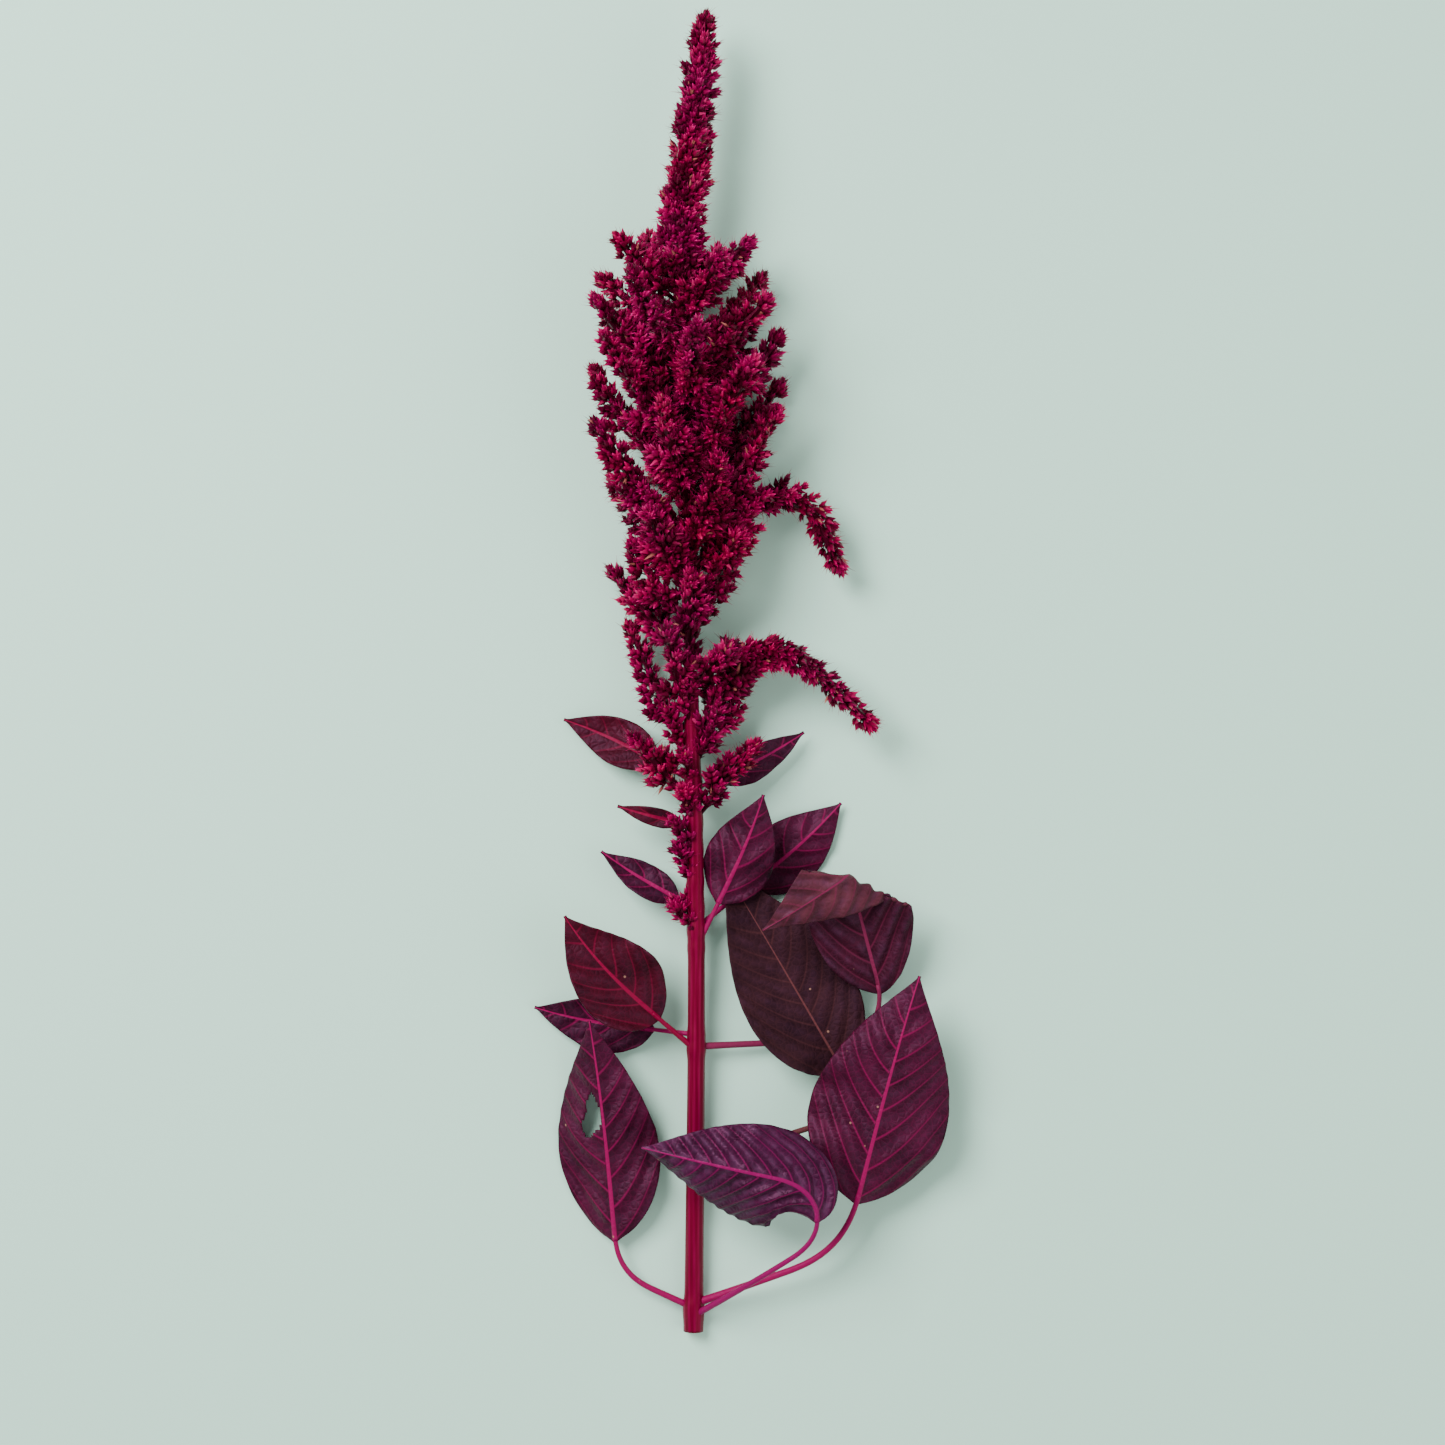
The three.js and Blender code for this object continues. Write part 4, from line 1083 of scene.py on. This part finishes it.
def blade_surface(line, share, spec, index, settings):
    """The blade's two faces as grids of points, with the places of its rib and veins."""
    rows = max(round(spec["blade"] * MM / settings.cell), 24)
    columns = 2 * max(round(spec["width"] * MM / settings.cell / 2), 6)
    t = np.linspace(0, 1, rows + 1)
    centres = line.at(share + (1 - share) * t)
    forwards = line.forward(share + (1 - share) * t)
    across = unit(np.cross(forwards, [0, 0, 1]))
    across = np.array([turned(a, f, math.radians(spec["roll"] + spec["twist"] * s))
                       for a, f, s in zip(across, forwards, t)])
    normals = np.cross(across, forwards)
    half = blade_half_width(t, spec["width"])[:, None]
    along_it, side = np.meshgrid(t, np.linspace(-1, 1, columns + 1), indexing="ij")
    spread = np.abs(side)
    wave = waves(LONG_WAVE, along_it, side, index) * half * spread
    ruffle = waves(SHORT_WAVE, along_it, np.sign(side), index) * half * spread ** 3
    left, right = spec.get("folds", LEAF_FOLDS)
    fold = np.where(side < 0, left, right) * half * side ** 2
    out = spread * half
    spacing = spec.get("veins", settings.vein_spacing / MM)
    bend = VEIN_BEND * out ** 2 / spec["width"]
    # The veins of one side start half way between those of the other
    phase = (along_it * spec["blade"] - VEIN_LEAN * out - bend) / spacing + 0.5 * (side > 0)
    phase += VEIN_LEAF * index
    phase += waves(VEIN_STRAY, along_it, side, index)
    finish, broad = LEAF_FINISHES[spec["finish"]], np.minimum(half / NARROW_BLADE, 1)
    quilt = finish["quilt"] * settings.quilting / MM * (0.5 - 0.5 * np.cos(2 * np.pi * (phase + 0.5)))
    quilt = quilt * broad * smooth_step(*QUILT_START, spread) * (1 - QUILT_LOWER * spread ** 4)
    grid = (centres[:, None] + across[:, None] * (side * half * BLADE_INSET)[..., None]
            + normals[:, None] * (fold + wave + ruffle)[..., None])
    if "crease" in spec:
        grid = creased(grid, line, share, spec["crease"], across)
    grid[..., 2] = above(grid[..., 2], BLADE_CLEARANCE + BLADE_THICKNESS)
    facing = unit(np.cross(np.gradient(grid, axis=1), np.gradient(grid, axis=0)))
    width = MIDRIB_WIDTH["foot"] * (1 - MIDRIB_WIDTH["narrower"] * along_it) + MIDRIB_WIDTH["least"]
    midrib = MIDRIB_HEIGHT * (1 - MIDRIB_LOWER * along_it) * np.exp(-(out / width) ** 2)
    away = np.abs(phase % 1 - 0.5)
    vein = VEIN_RELIEF["height"] * np.exp(-(away * spacing / VEIN_RELIEF["width"]) ** 2)
    vein = vein * (1 - VEIN_RELIEF["lower"] * spread) * broad
    thick = BLADE_THICKNESS * FACE_DEPTH
    rise = thick + quilt - UPPER_SUNK["midrib"] * midrib - UPPER_SUNK["vein"] * vein
    fall = thick - UNDER_RELIEF["quilt"] * quilt + np.maximum(UNDER_RELIEF["midrib"] * midrib, vein)
    coloured = finish["rib"] * (RIB_COLOUR_WIDTH["foot"] - RIB_COLOUR_WIDTH["narrower"] * along_it)
    return grid + facing * rise[..., None], grid - facing * fall[..., None], phase, out / coloured, spread


def eaten_cells(shape, spec):
    """The blade's cells that an insect ate: a ragged oval."""
    if "eaten" not in spec:
        return np.zeros(shape, bool)
    i, j = np.indices(shape)
    t, side, half_length, half_width = spec["eaten"]
    along_it = ((i + 0.5) / shape[0] - t) / half_length
    across_it = ((j + 0.5) / shape[1] * 2 - 1 - side) / half_width
    around = np.arctan2(across_it, along_it)
    ragged = 1 + EATEN_EDGE["reach"] * np.sin(EATEN_EDGE["points"] * around + 1)
    return np.hypot(along_it, across_it + EATEN_EDGE["lean"] * along_it) < ragged


def blade_faces(eaten):
    """Triangles of the blade's upper and lower face, and of its rim where a cell has none beyond it."""
    rows, columns = eaten.shape
    wide = columns + 1
    count = (rows + 1) * wide
    i, j = np.nonzero(~eaten)
    a = i * wide + j
    b, c, d = a + 1, a + wide + 1, a + wide
    faces = [(a, b, c), (a, c, d), (count + a, count + c, count + b), (count + a, count + d, count + c)]
    empty = np.pad(eaten, 1, constant_values=True)
    for down, right, start, stop in ((1, 0, a, d), (1, 2, c, b), (2, 1, d, c), (0, 1, b, a)):
        bare = empty[i + down, j + right]
        start, stop = start[bare], stop[bare]
        faces += [(start, stop, count + stop), (start, count + stop, count + start)]
    return np.vstack([np.stack(face, 1) for face in faces])


def leaf_mesh(name, spec, index, settings):
    line, share = leaf_line(spec)
    upper, lower, phase, rib, spread = blade_surface(line, share, spec, index, settings)
    faces = blade_faces(eaten_cells((upper.shape[0] - 1, upper.shape[1] - 1), spec))
    # The stalk, sunk into the foot of the blade
    steps, sides = 40, 12
    reach = share + STALK_TUCK / (spec["stalk"] + spec["blade"])
    stalk = GrowthLine([line.at(k / steps * reach) for k in range(steps + 1)])
    shares = np.linspace(0, 1, steps + 1)
    radius = STALK_RADIUS["least"] + STALK_RADIUS["wider"] * spec["width"]
    thick = radius * (1 - STALK_RADIUS["thinner"] * shares)
    stalk_points, stalk_faces = tube(stalk.at(shares), stalk.frames(steps), thick, sides)
    points = np.vstack([upper.reshape(-1, 3), lower.reshape(-1, 3), stalk_points])
    used, faces = np.unique(np.vstack([faces, stalk_faces + 2 * phase.size]), return_inverse=True)
    # Each value's places on the upper face and on the lower one, and its number on the stalk
    places = dict(phase=(phase, phase, 0), rib=(rib, rib, 0), side=(spread, spread, 0),
                  underside=(np.zeros(phase.size), np.ones(phase.size), 1))
    values = {}
    for key, (over, under, number) in places.items():
        values[key] = np.concatenate([over.ravel(), under.ravel(), np.full(len(stalk_points), number)])[used]
    finish = spec["finish"]
    material = bpy.data.materials.get(f"Amaranth leaf, {finish}") or leaf_material(finish)
    make_mesh(f"{name}_blade", points[used], faces.reshape(-1, 3), "leaf", name, material, **values)


class AMARANTH_OT_leaves(bpy.types.Operator):
    """Makes the leaves, with their stalks, ribs and quilted blades"""
    bl_idname = "amaranth.leaves"
    bl_label = "Leaves"

    def execute(self, context):
        for index, (name, spec) in enumerate(LEAVES.items()):
            leaf_mesh(name, spec, index, context.scene.amaranth_leaves)
        return {"FINISHED"}


class AMARANTH_OT_stage(bpy.types.Operator):
    """Sets the pale floor, the soft light and the camera that looks down on the head"""
    bl_idname = "amaranth.stage"
    bl_label = "Stage"

    def execute(self, context):
        scene = context.scene
        settings = scene.amaranth_stage
        mesh = bpy.data.meshes.new("floor")
        half = FLOOR_SIZE / 2
        mesh.from_pydata([(-half, -half, 0), (half, -half, 0), (half, half, 0), (-half, half, 0)], [],
                         [(0, 1, 2, 3)])
        mesh.materials.append(floor_material(settings.floor))
        floor = new_object("floor", mesh)
        floor.location.z = CAD_BOX[0][2] - FLOOR_GAP
        world = bpy.data.worlds.new("Soft studio")
        world.use_nodes = True
        background = world.node_tree.nodes["Background"].inputs
        background["Color"].default_value = (*linear("#eef2f1"), 1)
        background["Strength"].default_value = SKY_STRENGTH
        scene.world = world
        middle = Vector(VIEW_MIDDLE) * MM
        for light in SOFT_LIGHTS:
            data = bpy.data.lights.new(light["name"], "AREA")
            data.size = light["size"]
            data.energy = settings.brightness * light["share"]
            lamp = new_object(light["name"], data)
            lamp.location = light["place"]
            lamp.rotation_euler = (middle - lamp.location).to_track_quat("-Z", "Y").to_euler()
        data = bpy.data.cameras.new("camera")
        data.lens = settings.lens
        data.sensor_width = SENSOR_WIDTH
        data.clip_end = CAMERA_REACH
        scene.camera = new_object("camera", data)
        scene.camera.location = middle + Vector((0, 0, settings.view_width * settings.lens / SENSOR_WIDTH))
        return {"FINISHED"}


PIECES = (AMARANTH_OT_stem, AMARANTH_OT_axil_clusters, AMARANTH_OT_main_spike, AMARANTH_OT_side_spikes,
          AMARANTH_OT_odd_spikes, AMARANTH_OT_leaves, AMARANTH_OT_stage)
SETTINGS = {"amaranth_florets": FloretSettings, "amaranth_stem": StemSettings,
            "amaranth_leaves": LeafSettings, "amaranth_stage": StageSettings}


class AMARANTH_PT_panel(bpy.types.Panel):
    """The seed head's sizes, colours and pieces"""
    bl_idname = "AMARANTH_PT_panel"
    bl_label = "Amaranth Seed Head"
    bl_space_type = "VIEW_3D"
    bl_region_type = "UI"
    bl_category = "Seed Head"

    def draw(self, context):
        for name, group in SETTINGS.items():
            box = self.layout.box()
            box.label(text=group.__doc__.rstrip("."))
            for key in group.__annotations__:
                box.prop(getattr(context.scene, name), key)
        for piece in PIECES:
            self.layout.operator(piece.bl_idname)


def register():
    for kind in (*SETTINGS.values(), *PIECES, AMARANTH_PT_panel):
        bpy.utils.register_class(kind)
    for name, group in SETTINGS.items():
        setattr(bpy.types.Scene, name, bpy.props.PointerProperty(type=group))


def unregister():
    for name in SETTINGS:
        delattr(bpy.types.Scene, name)
    for kind in (AMARANTH_PT_panel, *reversed(PIECES), *SETTINGS.values()):
        bpy.utils.unregister_class(kind)


def main():
    register()
    bpy.ops.amaranth.stem()
    bpy.ops.amaranth.axil_clusters()
    bpy.ops.amaranth.main_spike()
    bpy.ops.amaranth.side_spikes()
    bpy.ops.amaranth.odd_spikes()
    bpy.ops.amaranth.leaves()
    bpy.ops.amaranth.stage()


if __name__ == "__main__":
    main()
